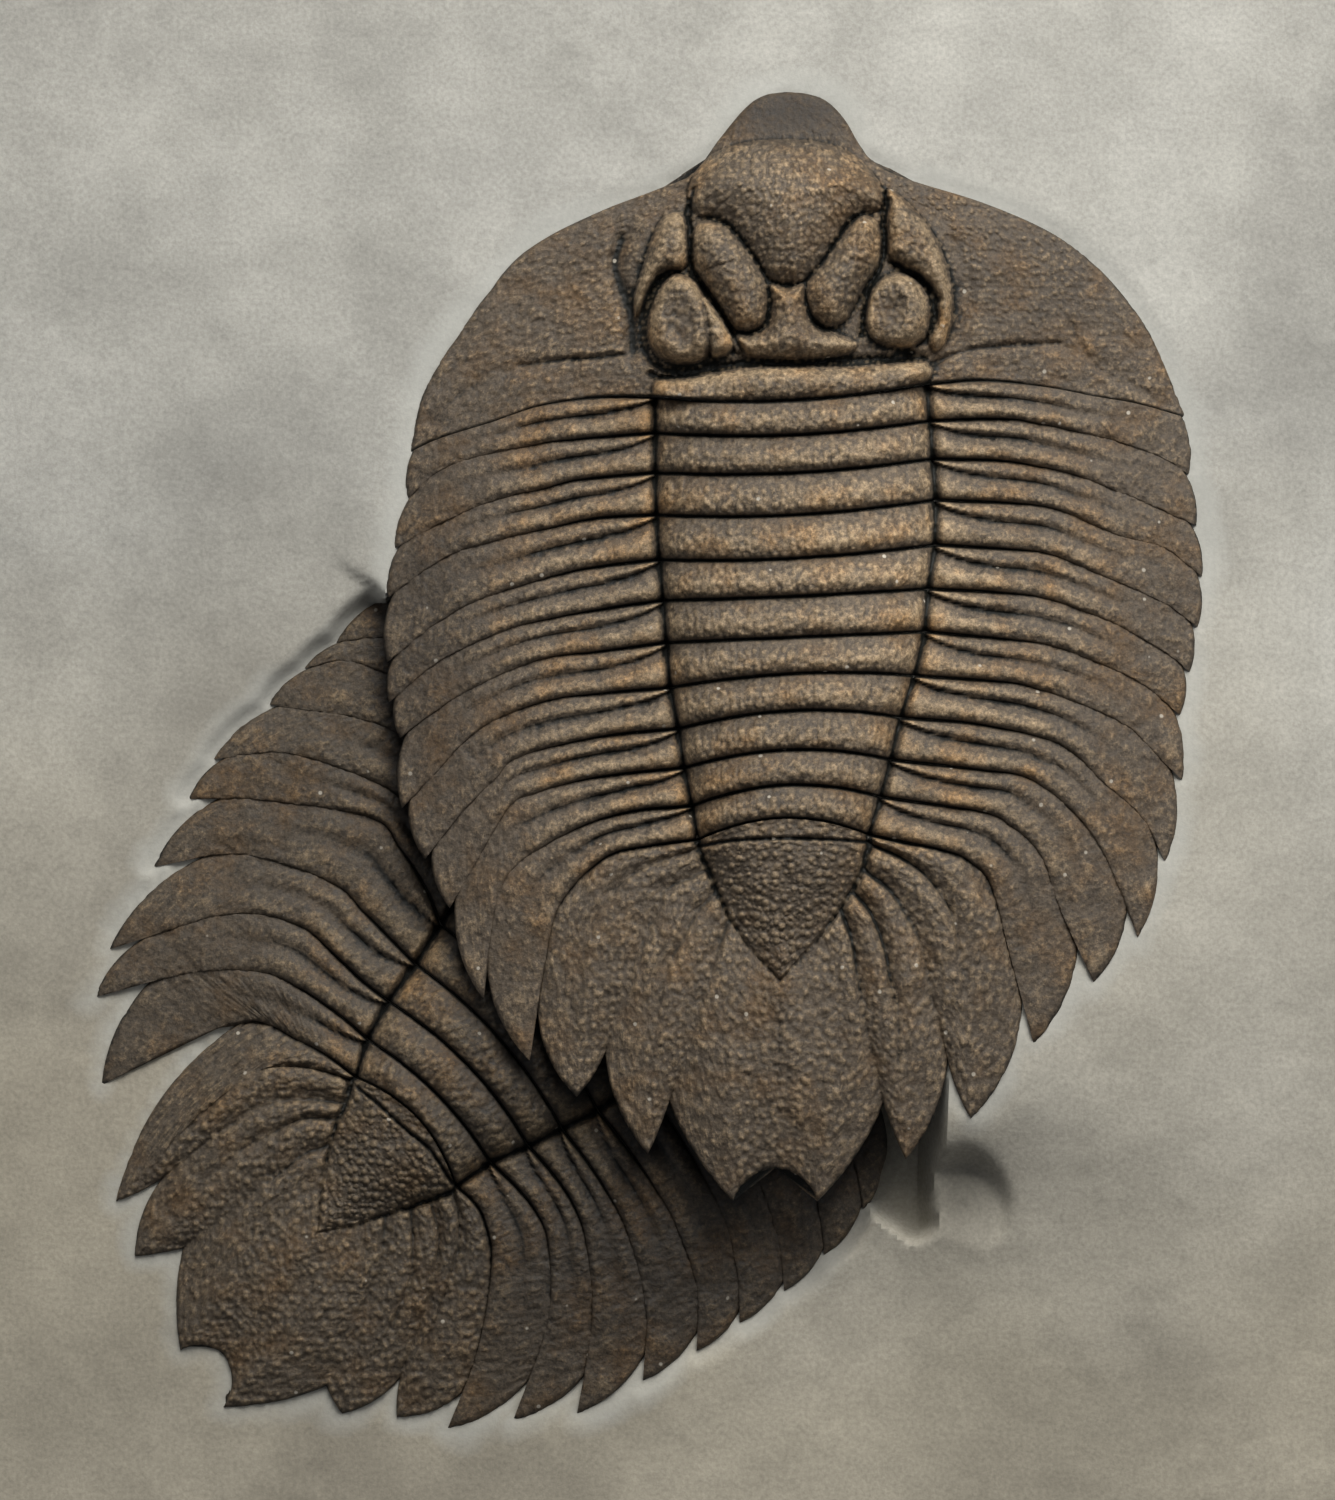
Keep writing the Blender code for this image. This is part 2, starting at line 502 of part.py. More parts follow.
def head_shield(animal, name, slot, collection):
    """The head shield, from the first seam to the snout, with its lobes and eyes."""
    left = smooth_line(HEAD_LEFT)
    right = smooth_line(HEAD_RIGHT)
    seam = animal.seams[0]

    def bowed(across, left_end, middle, right_end):
        c = across[:, None] / 2.0
        return left_end * c * (c - 1.0) / 2.0 + middle * (1.0 - c * c) + right_end * c * (c + 1.0) / 2.0

    def place(across, down):
        ahead = 1.0 - down
        midline = np.interp(ahead, HEAD_MIDLINE_SHARES, HEAD_MIDLINE)
        middle = np.stack([metres((786.0, y)) for y in midline])
        rows = bowed(across, along(left, ahead), middle, along(right, ahead))
        zero = np.zeros_like(ahead)
        flat = bowed(across, along(left, zero), np.tile(metres((786.0, HEAD_MIDLINE[0])), (len(ahead), 1)),
                     along(right, zero))
        behind = seam.points(across, 0.0, -SEAM_GAP)
        plan = rows + (behind - flat) * ((1.0 - ahead) ** 2)[:, None]
        c = np.abs(across) / 2.0
        cheek = animal.side_rise * (1.0 - c ** 2.6) * (1.0 - ahead ** 3)
        off_centre = (plan[:, 0] - metres((786.0, 0.0))[0]) / (HEAD_PLATFORM_HALF_WIDTH * POINT_PITCH)
        platform = HEAD_PLATFORM * np.exp(-off_centre ** 2) * (1.0 - ahead ** 4)
        base = animal.margin(plan)
        top = base + cheek + platform + lump_height(plan, HEAD_LUMPS) + 0.15 * MM
        under = base + UNDERSIDE_ARCH * cheek - SHELL_THICKNESS
        return plan, top, under

    columns = (tuple(-s for s in reversed(HEAD_SIDE_STATIONS))
               + tuple(np.linspace(-1.0, 1.0, HEAD_MIDDLE_COLUMNS + 1)) + HEAD_SIDE_STATIONS)
    return plate(name, slot, collection, columns, HEAD_ROWS, place, folded=True)


def thin_plate(levels):
    """A smooth surface bent through the given levels, as a function of plan points in metres."""
    knots = np.array([metres(entry[:2]) for entry in levels])
    heights = np.array([entry[2] * MM for entry in levels])
    count = len(knots)

    def bend(distance):
        return distance ** 2 * np.log(np.maximum(distance, 1e-12))

    gaps = np.linalg.norm(knots[:, None] - knots[None], axis=2)
    system = np.zeros((count + 3, count + 3))
    system[:count, :count] = bend(gaps)
    system[:count, count] = 1.0
    system[:count, count + 1:] = knots
    system[count:, :count] = system[:count, count:].T
    weights = np.linalg.solve(system, np.concatenate((heights, np.zeros(3))))

    def surface(plan):
        away = np.linalg.norm(plan[:, None] - knots[None], axis=2)
        return bend(away) @ weights[:count] + weights[count] + plan @ weights[count + 1:]

    return surface


def trough(plan, ends, floor, slope):
    """Height of a tapered trough's floor and walls."""
    start = metres(ends[0][:2])
    run = metres(ends[1][:2]) - start
    share = np.clip((plan - start) @ run / (run @ run), 0.0, 1.0)
    radius = (ends[0][2] * (1.0 - share) + ends[1][2] * share) * POINT_PITCH
    out = np.linalg.norm(plan - start - share[:, None] * run, axis=1) - radius
    return floor + slope * np.maximum(out, 0.0)


def rock_level(plan):
    """Level of the bare rock over the slab's underside."""
    rock = thin_plate(ROCK_LEVELS)(plan)
    rock = np.minimum(rock, trough(plan, LEDGE_FOOT, LEDGE_FOOT_LEVEL, LEDGE_SLOPE))
    rock = np.minimum(rock, trough(plan, HOLLOW_ENDS, HOLLOW_FLOOR, HOLLOW_WALL_SLOPE))
    return SLAB_THICKNESS + rock


def lowest_underside(plates, xs, ys):
    """Lowest underside over every point of a rectangular lattice, or infinity."""
    found = np.full((len(ys), len(xs)), np.inf)
    up = Vector((0.0, 0.0, 1.0))
    for piece in plates:
        bm = bmesh.new()
        bm.from_mesh(piece.data)
        tree = BVHTree.FromBMesh(bm)
        bm.free()
        corners = np.array([tuple(vertex.co) for vertex in piece.data.vertices])
        low = corners.min(axis=0)
        high = corners.max(axis=0)
        for i in np.flatnonzero((xs > low[0]) & (xs < high[0])):
            for j in np.flatnonzero((ys > low[1]) & (ys < high[1])):
                hit = tree.ray_cast(Vector((xs[i], ys[j], 0.0)), up)[0]
                if hit is not None:
                    found[j, i] = min(found[j, i], hit.z)
    return found


def bed_level(plates, plan, reach):
    """The highest the rock may stand at each plan point, so that its facets clear the plates."""
    pitch = reach / BED_LATTICE
    xs = np.arange(-SLAB_WIDTH / 2.0, SLAB_WIDTH / 2.0, pitch)
    ys = np.arange(-SLAB_LENGTH / 2.0, SLAB_LENGTH / 2.0, pitch)
    found = lowest_underside(plates, xs, ys)
    level = np.empty(len(plan))
    for index, (x, y) in enumerate(plan):
        near_x = np.abs(xs - x) < reach + pitch
        near_y = np.abs(ys - y) < reach + pitch
        level[index] = found[np.ix_(near_y, near_x)].min(initial=np.inf)
    return level - BED_GAP


def broken_edge(share, phase):
    """A gently irregular line, for the slab's snapped sides."""
    return (0.45 * math.sin(3.1 * share + phase) + 0.3 * math.sin(7.3 * share + 2.0 * phase)
            + 0.25 * math.sin(13.7 * share + 3.0 * phase))


def slab(plates, collection):
    """The slab: bare rock round the fossils, and a bed sunk to fit under them."""
    bm = bmesh.new()
    bmesh.ops.create_grid(bm, x_segments=SLAB_COLUMNS, y_segments=SLAB_ROWS, size=0.5)
    half_width = SLAB_WIDTH / 2.0
    half_length = SLAB_LENGTH / 2.0
    edge_play = 2.2 * MM
    for vertex in bm.verts:
        u = 2.0 * vertex.co.x
        v = 2.0 * vertex.co.y
        side = u * (half_width - edge_play * (1.0 + broken_edge(v, 0.7 if u < 0 else 2.9)))
        end = v * (half_length - edge_play * (1.0 + broken_edge(u, 1.6 if v < 0 else 4.2)))
        vertex.co = (side, end, 0.0)
    plan = np.array([(vertex.co.x, vertex.co.y) for vertex in bm.verts])
    middle = (plan.min(axis=0) + plan.max(axis=0)) / 2.0
    stretch = np.array((half_width, half_length)) / (plan.max(axis=0) - middle)
    plan = (plan - middle) * stretch
    cell = max(SLAB_WIDTH / SLAB_COLUMNS, SLAB_LENGTH / SLAB_ROWS)
    level = np.minimum(rock_level(plan), bed_level(plates, plan, cell))
    top_layer = bm.verts.layers.float.new("top")
    for index, vertex in enumerate(bm.verts):
        vertex.co = (plan[index, 0], plan[index, 1], 0.0)
        vertex[top_layer] = level[index]
    base = set(bm.faces)
    raised = bmesh.ops.extrude_face_region(bm, geom=bm.faces[:], use_keep_orig=True)
    for item in raised["geom"]:
        if isinstance(item, bmesh.types.BMVert):
            item.co.z = item[top_layer]
    bmesh.ops.dissolve_faces(bm, faces=[face for face in bm.faces if face in base])
    return finish(bm, "matrix_slab", "shale", collection)


def main():
    for item in list(bpy.data.objects):
        bpy.data.objects.remove(item, do_unlink=True)
    collection = bpy.data.collections.new(COLLECTION)
    bpy.context.scene.collection.children.link(collection)

    upper = Animal(UPPER_SEAMS, UPPER_TAIL_LEFT, UPPER_TAIL_RIGHT, UPPER_TAIL_SPINE, upper_margin,
                   UPPER_SIDE_RISE, UPPER_RING_RISE)
    lower = Animal(LOWER_SEAMS, LOWER_TAIL_LEFT, LOWER_TAIL_RIGHT, LOWER_TAIL_SPINE, lower_margin,
                   LOWER_SIDE_RISE, LOWER_RING_RISE)
    plates = [head_shield(upper, "upper_cephalon", "upper_shell", collection)]
    for index in range(len(UPPER_SEAMS) - 1):
        name = f"upper_thorax_segment_{UPPER_FIRST_RING + index:02d}"
        plates.append(thorax_plate(upper, index, name, "upper_shell", collection))
    plates.append(tail_shield(upper, "upper_pygidium", "upper_shell", collection))
    for index in range(len(LOWER_SEAMS) - 1):
        name = f"lower_thorax_segment_{LOWER_FIRST_RING + index:02d}"
        plates.append(thorax_plate(lower, index, name, "lower_shell", collection))
    plates.append(tail_shield(lower, "lower_pygidium", "lower_shell", collection))
    slab(plates, collection)


main()
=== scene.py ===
# %% [markdown]
# # Two trilobites on a slab of shale
#
# The real object is a slab of pale grey shale with two broad, saw-edged sea animals on it, one
# lying across the other. Each animal is a set of separate hard plates: a head shield, a row of
# thorax plates and a tail shield. This lesson builds every plate as a closed shell of its own,
# sinks them into a slab, and gives shell and rock their own finishes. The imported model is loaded
# first, because every piece has to stay where the solids say.

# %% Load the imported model
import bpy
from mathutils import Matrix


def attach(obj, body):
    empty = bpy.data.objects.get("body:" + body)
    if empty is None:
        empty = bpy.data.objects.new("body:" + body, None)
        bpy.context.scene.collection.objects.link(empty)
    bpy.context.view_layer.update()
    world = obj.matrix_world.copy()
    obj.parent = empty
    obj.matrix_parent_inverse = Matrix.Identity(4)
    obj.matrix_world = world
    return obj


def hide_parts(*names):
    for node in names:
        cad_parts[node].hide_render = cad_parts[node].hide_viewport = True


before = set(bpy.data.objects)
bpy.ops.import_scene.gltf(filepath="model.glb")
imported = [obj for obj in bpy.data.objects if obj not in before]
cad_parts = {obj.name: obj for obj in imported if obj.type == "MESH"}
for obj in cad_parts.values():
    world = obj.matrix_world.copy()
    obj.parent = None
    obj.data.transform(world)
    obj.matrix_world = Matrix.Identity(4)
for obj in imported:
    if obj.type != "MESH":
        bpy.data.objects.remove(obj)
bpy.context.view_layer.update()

# %% [markdown]
# ## Tools
#
# Blender's mesh operators make each blank, and numpy then moves thousands of points at once. A
# Python loop over each vertex would give the same shapes, only a hundred times slower.

# %% Tools
import math

import bmesh
import bpy
import numpy as np
from mathutils import Vector
from mathutils.bvhtree import BVHTree
from mathutils.kdtree import KDTree

MM = 0.001
POINT_PITCH = 0.135 * MM
PLAN_CENTRE = (667.5, 750.0)
SLAB_THICKNESS = 0.026
scene = bpy.context.scene

# %% [markdown]
# ## The plan of the animals
#
# Seen from straight above, a trilobite is a stack of curved seams. Each seam is listed as its
# left half from the axial groove to the tip, the crown of its ring, its right half, and how far
# the margin of the next plate is set back from the two tips. The tail shields are listed as
# lines that fan back from the middle lobe to the spines and notches. Tracing such lines
# keeps the animal's own small asymmetries, which a mirrored half would lose.

# %% Seams of the upper animal
UPPER_SEAMS = (
    (((655, 397), (600, 397), (540, 406), (495, 421), (440, 438), (409, 452)), (787, 402),
     ((927, 384), (980, 380), (1040, 386), (1100, 397), (1140, 404), (1187, 417)), (4, 4)),
    (((655, 433), (560, 441), (520, 448), (480, 456), (440, 470), (407, 498)), (790, 436),
     ((930, 421), (1000, 419), (1040, 424), (1120, 442), (1165, 458), (1190, 474)), (6, 6)),
    (((655, 473), (580, 480), (540, 490), (500, 499), (450, 518), (394, 548)), (792, 474),
     ((933, 459), (1000, 461), (1040, 467), (1080, 477), (1140, 500), (1197, 525)), (6, 7)),
    (((656, 515), (600, 518), (560, 526), (480, 545), (440, 560), (387, 598)), (793, 516),
     ((936, 500), (1020, 504), (1060, 511), (1120, 536), (1165, 548), (1203, 577)), (7, 7)),
    (((659, 560), (600, 567), (560, 575), (480, 600), (440, 621), (387, 662)), (795, 559),
     ((935, 545), (1000, 549), (1050, 555), (1110, 579), (1165, 603), (1198, 627)), (7, 8)),
    (((663, 601), (600, 610), (520, 626), (460, 650), (430, 668), (389, 702)), (795, 597),
     ((928, 589), (1000, 593), (1050, 600), (1110, 622), (1165, 652), (1190, 672)), (7, 8)),
    (((666, 643), (600, 652), (540, 660), (470, 690), (430, 715), (400, 738)), (795, 638),
     ((925, 632), (1000, 639), (1050, 646), (1110, 668), (1145, 686), (1180, 715)), (8, 10)),
    (((670, 688), (600, 694), (540, 703), (480, 729), (440, 768), (402, 808)), (795, 674),
     ((914, 676), (1000, 682), (1040, 690), (1120, 722), (1158, 757), (1182, 780)), (9, 14)),
    (((678, 729), (600, 737), (520, 757), (495, 780), (462, 812), (425, 859)), (793, 711),
     ((900, 718), (980, 725), (1060, 745), (1100, 780), (1140, 815), (1165, 862)), (10, 20)),
    (((684, 768), (600, 777), (540, 792), (510, 807), (474, 866), (450, 908)), (790, 750),
     ((890, 760), (980, 770), (1030, 780), (1085, 825), (1120, 890), (1137, 937)), (10, 32)),
    (((692, 806), (630, 812), (570, 832), (508, 875), (490, 940), (484, 1000)), (785, 785),
     ((880, 797), (980, 812), (1010, 826), (1040, 855), (1060, 910), (1093, 982)), (34, 38)),
    (((698, 840), (650, 846), (605, 858), (560, 905), (543, 975), (530, 1060)), (783, 818),
     ((868, 835), (940, 850), (970, 862), (990, 885), (1012, 965), (1033, 1043)), (53, 45)),
)
UPPER_TAIL_LEFT = (
    ((699, 848), (645, 868), (610, 900), (588, 950), (577, 1096)),
    ((708, 868), (668, 893), (645, 930), (628, 980), (605, 1053)),
    ((717, 890), (690, 920), (670, 970), (656, 1040), (648, 1153)),
    ((730, 918), (710, 965), (694, 1030), (669, 1101)),
    ((750, 947), (736, 1000), (727, 1090), (733, 1200)),
    ((780, 978), (778, 1060), (775, 1167)),
)
UPPER_TAIL_RIGHT = (
    ((868, 843), (905, 860), (937, 893), (955, 940), (970, 1118)),
    ((862, 868), (890, 893), (915, 930), (930, 990), (947, 1060)),
    ((851, 890), (872, 915), (888, 955), (898, 1040), (905, 1158)),
    ((840, 907), (855, 955), (866, 1025), (883, 1103)),
    ((815, 940), (830, 1000), (838, 1080), (817, 1200)),
    ((780, 978), (778, 1060), (775, 1167)),
)
UPPER_TAIL_SPINE = ((783, 818), (781, 950))

# %% Seams of the lower animal
LOWER_SEAMS = (
    (((590, 725), (545, 665), (500, 625), (450, 603), (410, 596), (371, 603)), (702, 822),
     ((790, 940), (835, 1000), (865, 1060), (883, 1115), (888, 1150), (880, 1180)), (4, 4)),
    (((560, 765), (525, 718), (485, 680), (440, 652), (390, 637), (335, 642)), (670, 860),
     ((755, 975), (797, 1030), (828, 1090), (850, 1150), (860, 1185), (864, 1213)), (5, 6)),
    (((530, 805), (500, 760), (465, 722), (425, 692), (350, 661), (303, 668)), (636, 898),
     ((718, 1010), (757, 1065), (787, 1120), (810, 1175), (822, 1225), (825, 1258)), (8, 8)),
    (((500, 845), (478, 803), (445, 768), (405, 738), (355, 718), (267, 704)), (602, 936),
     ((680, 1045), (717, 1095), (746, 1150), (768, 1205), (781, 1255), (785, 1293)), (10, 10)),
    (((470, 885), (452, 846), (420, 815), (375, 783), (285, 753), (212, 759)), (567, 974),
     ((640, 1080), (672, 1125), (702, 1175), (724, 1220), (738, 1275), (740, 1325)), (12, 12)),
    (((440, 925), (425, 888), (400, 850), (370, 818), (260, 800), (187, 799)), (530, 1009),
     ((598, 1112), (622, 1142), (650, 1182), (676, 1227), (697, 1290), (697, 1353)), (30, 20)),
    (((415, 965), (390, 940), (362, 912), (330, 883), (240, 854), (152, 867)), (499, 1038),
     ((562, 1130), (582, 1156), (606, 1192), (628, 1237), (646, 1310), (643, 1383)), (52, 27)),
    (((388, 1002), (362, 982), (330, 952), (295, 925), (225, 915), (107, 950)), (468, 1065),
     ((528, 1147), (550, 1172), (571, 1202), (585, 1242), (592, 1320), (577, 1416)), (38, 39)),
    (((367, 1040), (340, 1017), (300, 990), (260, 973), (190, 973), (93, 998)), (436, 1093),
     ((490, 1163), (515, 1187), (535, 1212), (548, 1247), (547, 1325), (513, 1422)), (57, 43)),
    (((355, 1078), (330, 1059), (300, 1042), (250, 1021), (185, 1043), (100, 1086)), (419, 1119),
     ((455, 1187), (472, 1202), (484, 1222), (491, 1265), (478, 1350), (447, 1431)), (155, 40)),
)
LOWER_TAIL_LEFT = (
    ((352, 1081), (325, 1073), (290, 1068), (250, 1074), (205, 1110), (114, 1203)),
    ((346, 1104), (310, 1102), (270, 1104), (230, 1125), (160, 1180)),
    ((338, 1120), (300, 1121), (265, 1138), (225, 1165), (133, 1258)),
    ((330, 1145), (300, 1160), (265, 1187), (181, 1250)),
    ((322, 1185), (290, 1205), (250, 1250), (179, 1352)),
    ((318, 1232), (280, 1280), (222, 1356)),
)
LOWER_TAIL_RIGHT = (
    ((452, 1192), (458, 1215), (455, 1260), (440, 1310), (396, 1419)),
    ((430, 1200), (437, 1240), (430, 1290), (399, 1381)),
    ((410, 1207), (412, 1250), (400, 1300), (341, 1416)),
    ((385, 1215), (380, 1260), (360, 1310), (325, 1388)),
    ((355, 1225), (345, 1270), (300, 1330), (222, 1409)),
    ((318, 1232), (280, 1280), (222, 1356)),
)
LOWER_TAIL_SPINE = ((419, 1119), (335, 1212))
print("seams:", len(UPPER_SEAMS), "above,", len(LOWER_SEAMS), "below")

# %% [markdown]
# ## Smooth lines
#
# A few points joined by a Catmull-Rom curve give the easy bend of a real plate's edge. `along`
# then reads a point at any share of the line's length, so that two seams can be joined by a
# surface of any fineness.

# %% Lines through the plan
def metres(point):
    return np.array(((point[0] - PLAN_CENTRE[0]) * POINT_PITCH,
                     (PLAN_CENTRE[1] - point[1]) * POINT_PITCH))


def smoothstep(value):
    value = np.clip(value, 0.0, 1.0)
    return value * value * (3.0 - 2.0 * value)


def smooth_line(points, steps=8):
    knots = np.array([metres(point) for point in points])
    knots = np.vstack((2 * knots[0] - knots[1], knots, 2 * knots[-1] - knots[-2]))
    share = (np.arange(steps) / steps)[:, None]
    pieces = []
    for before, start, end, after in zip(knots, knots[1:], knots[2:], knots[3:]):
        pieces.append(0.5 * (2 * start + (end - before) * share
                             + (2 * before - 5 * start + 4 * end - after) * share ** 2
                             + (3 * start - before - 3 * end + after) * share ** 3))
    pieces.append(knots[-2][None, :])
    return np.vstack(pieces)


def along(line, share):
    reach = np.concatenate(([0.0], np.cumsum(np.linalg.norm(np.diff(line, axis=0), axis=1))))
    at = share * reach[-1]
    return np.stack((np.interp(at, reach, line[:, 0]), np.interp(at, reach, line[:, 1])), axis=-1)


def length_of(line):
    return np.linalg.norm(np.diff(line, axis=0), axis=1).sum()


def distance_to(plan, line):
    nearest = np.full(len(plan), np.inf)
    for start, end in zip(line, line[1:]):
        run = end - start
        share = np.clip((plan - start) @ run / max(run @ run, 1e-18), 0.0, 1.0)
        away = plan - start - share[:, None] * run
        nearest = np.minimum(nearest, np.einsum("ij,ij->i", away, away))
    return np.sqrt(nearest)

# %% [markdown]
# ## Chance, but always the same
#
# Shell grain and rock are irregular. A table of dice, thrown once from a fixed seed and laid out
# as a repeating lattice, gives every spot its own random numbers and still the same ones on
# every run. `wander` blends them into soft swells, and `pimples` sets small domes on them: the
# tubercles that cover this animal.

# %% Dice, swells and pimples
DICE_SIDE = 256
dice_table = np.random.default_rng(41).random((4, DICE_SIDE, DICE_SIDE))


def dice(layer, i, j, seed):
    return dice_table[layer, (i + 37 * seed) % DICE_SIDE, (j + 101 * seed) % DICE_SIDE]


def wander(plan, size, seed):
    spot = plan / size
    cell = np.floor(spot).astype(int)
    part = smoothstep(spot - cell)
    value = np.zeros(len(plan))
    for dx in (0, 1):
        for dy in (0, 1):
            weight = (part[:, 0] if dx else 1 - part[:, 0]) * (part[:, 1] if dy else 1 - part[:, 1])
            value += weight * dice(0, cell[:, 0] + dx, cell[:, 1] + dy, seed)
    return 2.0 * value - 1.0


def pimples(plan, pitch, fill, seed):
    cell = np.floor(plan / pitch).astype(int)
    height = np.zeros(len(plan))
    for dx in (-1, 0, 1):
        for dy in (-1, 0, 1):
            i = cell[:, 0] + dx
            j = cell[:, 1] + dy
            spot = np.stack((i + 0.15 + 0.7 * dice(0, i, j, seed),
                             j + 0.15 + 0.7 * dice(1, i, j, seed)), axis=1) * pitch
            radius = pitch * (0.26 + 0.26 * dice(2, i, j, seed))
            away = np.linalg.norm(plan - spot, axis=1) / radius
            dome = np.clip(1.0 - away ** 2, 0.0, 1.0) ** 0.75 * radius / (0.52 * pitch)
            height = np.maximum(height, np.where(dice(3, i, j, seed) < fill, dome, 0.0))
    return height


sample = np.stack(np.meshgrid(np.linspace(0, 0.02, 60), np.linspace(0, 0.02, 60)), -1).reshape(-1, 2)
print("pimples cover", round(float((pimples(sample, 1.2 * MM, 0.8, 1) > 0.1).mean()), 2), "of a shell")

# %% [markdown]
# ## A seam and an animal
#
# A seam answers one question: where is the point at station `across`? Station -2 is the left
# tip, -1 and 1 are the two axial grooves, 0 is the midline and 2 is the right tip. The animal
# adds its arch: a high middle lobe between two lower side lobes, as a trilobite's name says.

# %% Seam and Animal
SEAM_GAP = 0.07 * MM
TANGENT_STEP = 0.02
TIP_REACH = 12
GROOVE_DEPTH = 1.3 * MM


def side_share(across):
    return np.clip(np.abs(across) - 1.0, 0.0, 1.0)


class Seam:
    def __init__(self, entry):
        left, crown, right, setback = entry
        self.left = smooth_line(left)
        self.right = smooth_line(right)
        self.ring = (metres(left[0]), metres(crown), metres(right[0]))
        self.setback = (setback[0] * POINT_PITCH / length_of(self.left),
                        setback[1] * POINT_PITCH / length_of(self.right))

    def points(self, across, cut, back=0.0):
        if back:
            before = self.points(across - TANGENT_STEP, cut)
            after = self.points(across + TANGENT_STEP, cut)
            run = (after - before) / np.linalg.norm(after - before, axis=1, keepdims=True)
            back = back * (1.0 - 1.3 * smoothstep(side_share(across)[:, None] / 0.6))
            return self.points(across, cut) + back * np.stack((run[:, 1], -run[:, 0]), axis=1)
        out = side_share(across)
        beyond_notch = (1.0 - cut) * out ** TIP_REACH
        left = along(self.left, out * (1.0 - self.setback[0]) + self.setback[0] * beyond_notch)
        right = along(self.right, out * (1.0 - self.setback[1]) + self.setback[1] * beyond_notch)
        c = np.clip(across, -1.0, 1.0)[:, None]
        ring = (self.ring[0] * c * (c - 1.0) / 2.0 + self.ring[1] * (1.0 - c * c)
                + self.ring[2] * c * (c + 1.0) / 2.0)
        outside = across[:, None]
        return np.where(outside < -1.0, left, np.where(outside > 1.0, right, ring))


class Animal:
    def __init__(self, seams, tail_left, tail_right, tail_spine, margin, side_rise, ring_rise,
                 relief):
        self.seams = [Seam(entry) for entry in seams]
        self.tail_left = [smooth_line(points) for points in tail_left]
        self.tail_right = [smooth_line(points) for points in tail_right]
        self.tail_spine = [metres(point) for point in tail_spine]
        self.margin = margin
        self.side_rise = side_rise
        self.ring_rise = ring_rise
        self.relief = relief

    def arch(self, across, fade, blunt=0.0):
        side = side_share(across)
        middle = np.clip(np.abs(across), 0.0, 1.0)
        height = self.side_rise * (1.0 - side ** 2.4)
        crown = (1.0 - middle ** (3.0 - 1.4 * blunt)) ** (0.8 + 0.7 * blunt)
        height = height + self.ring_rise * fade * crown
        groove = np.where(np.abs(across) > 1.0, side / 0.018, (1.0 - middle) / 0.045)
        return height - GROOVE_DEPTH * fade * np.exp(-groove ** 2)


def upper_margin(plan):
    share = (0.065 - plan[:, 1]) / 0.130
    return SLAB_THICKNESS + (1.0 + 9.5 * smoothstep(share)) * MM


def lower_margin(plan):
    ahead = (plan - metres((200, 1393))) @ np.array((0.66, 0.75))
    return SLAB_THICKNESS + (0.5 - 2.5 * smoothstep((ahead - 0.025) / 0.075)) * MM


upper = Animal(UPPER_SEAMS, UPPER_TAIL_LEFT, UPPER_TAIL_RIGHT, UPPER_TAIL_SPINE, upper_margin,
               3.4 * MM, 5.4 * MM, 1.0)
lower = Animal(LOWER_SEAMS, LOWER_TAIL_LEFT, LOWER_TAIL_RIGHT, LOWER_TAIL_SPINE, lower_margin,
               2.6 * MM, 4.2 * MM, 0.75)

# %% [markdown]
# ## The blank of a plate
#
# Every plate starts as the same flat box: a grid, extruded once, with only its upper side cut
# fine. That keeps the hidden underside light. A Solidify modifier could give the thickness too,
# but then the underside would be as heavy as the top. The box's own corners say where a point
# belongs: x runs across the animal, y from front to rear and z from underside to top, and
# `lay_out` turns those into a place on the fossil.

# %% Blank and finish
SHELL_THICKNESS = 1.3 * MM
RELIEF_ROUNDS = 30


def flat_box(blocks, cuts, folded):
    bm = bmesh.new()
    bmesh.ops.create_grid(bm, x_segments=blocks[0], y_segments=blocks[1], size=0.5)
    raised = bmesh.ops.extrude_face_region(bm, geom=bm.faces[:], use_keep_orig=True)["geom"]
    upper_points = [item for item in raised if isinstance(item, bmesh.types.BMVert)]
    bmesh.ops.translate(bm, verts=upper_points, vec=(0.0, 0.0, 1.0))
    bmesh.ops.recalc_face_normals(bm, faces=bm.faces[:])
    upper_edges = [edge for edge in bm.edges if all(vert.co.z > 0.5 for vert in edge.verts)]
    bmesh.ops.subdivide_edges(bm, edges=upper_edges, cuts=cuts, use_grid_fill=True)
    if folded:
        fold = [face for face in bm.faces if all(vert.co.y < -0.499 for vert in face.verts)]
        bmesh.ops.delete(bm, geom=fold, context="FACES_ONLY")
    return bm


def to_object(bm, name, body="root"):
    mesh = bpy.data.meshes.new(name)
    bm.to_mesh(mesh)
    bm.free()
    piece = bpy.data.objects.new(name, mesh)
    scene.collection.objects.link(piece)
    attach(piece, body)
    return piece


def points_of(mesh):
    flat = np.empty(len(mesh.vertices) * 3)
    mesh.vertices.foreach_get("co", flat)
    return flat.reshape(-1, 3)


def write_attribute(mesh, name, values):
    made = mesh.attributes.new(name, "FLOAT", "POINT")
    made.data.foreach_set("value", np.ascontiguousarray(values, dtype=np.float32))


def local_relief(mesh, top, rounds):
    pairs = np.empty(len(mesh.edges) * 2, dtype=np.int32)
    mesh.edges.foreach_get("vertices", pairs)
    a, b = pairs[0::2], pairs[1::2]
    keep = top[a] & top[b]
    a, b = a[keep], b[keep]
    z = points_of(mesh)[:, 2]
    count = len(z)
    degree = np.maximum(np.bincount(a, minlength=count) + np.bincount(b, minlength=count), 1)
    smooth = z.copy()
    for _ in range(rounds):
        smooth = (np.bincount(a, smooth[b], count) + np.bincount(b, smooth[a], count)) / degree
    return np.where(top, z - smooth, 0.0)


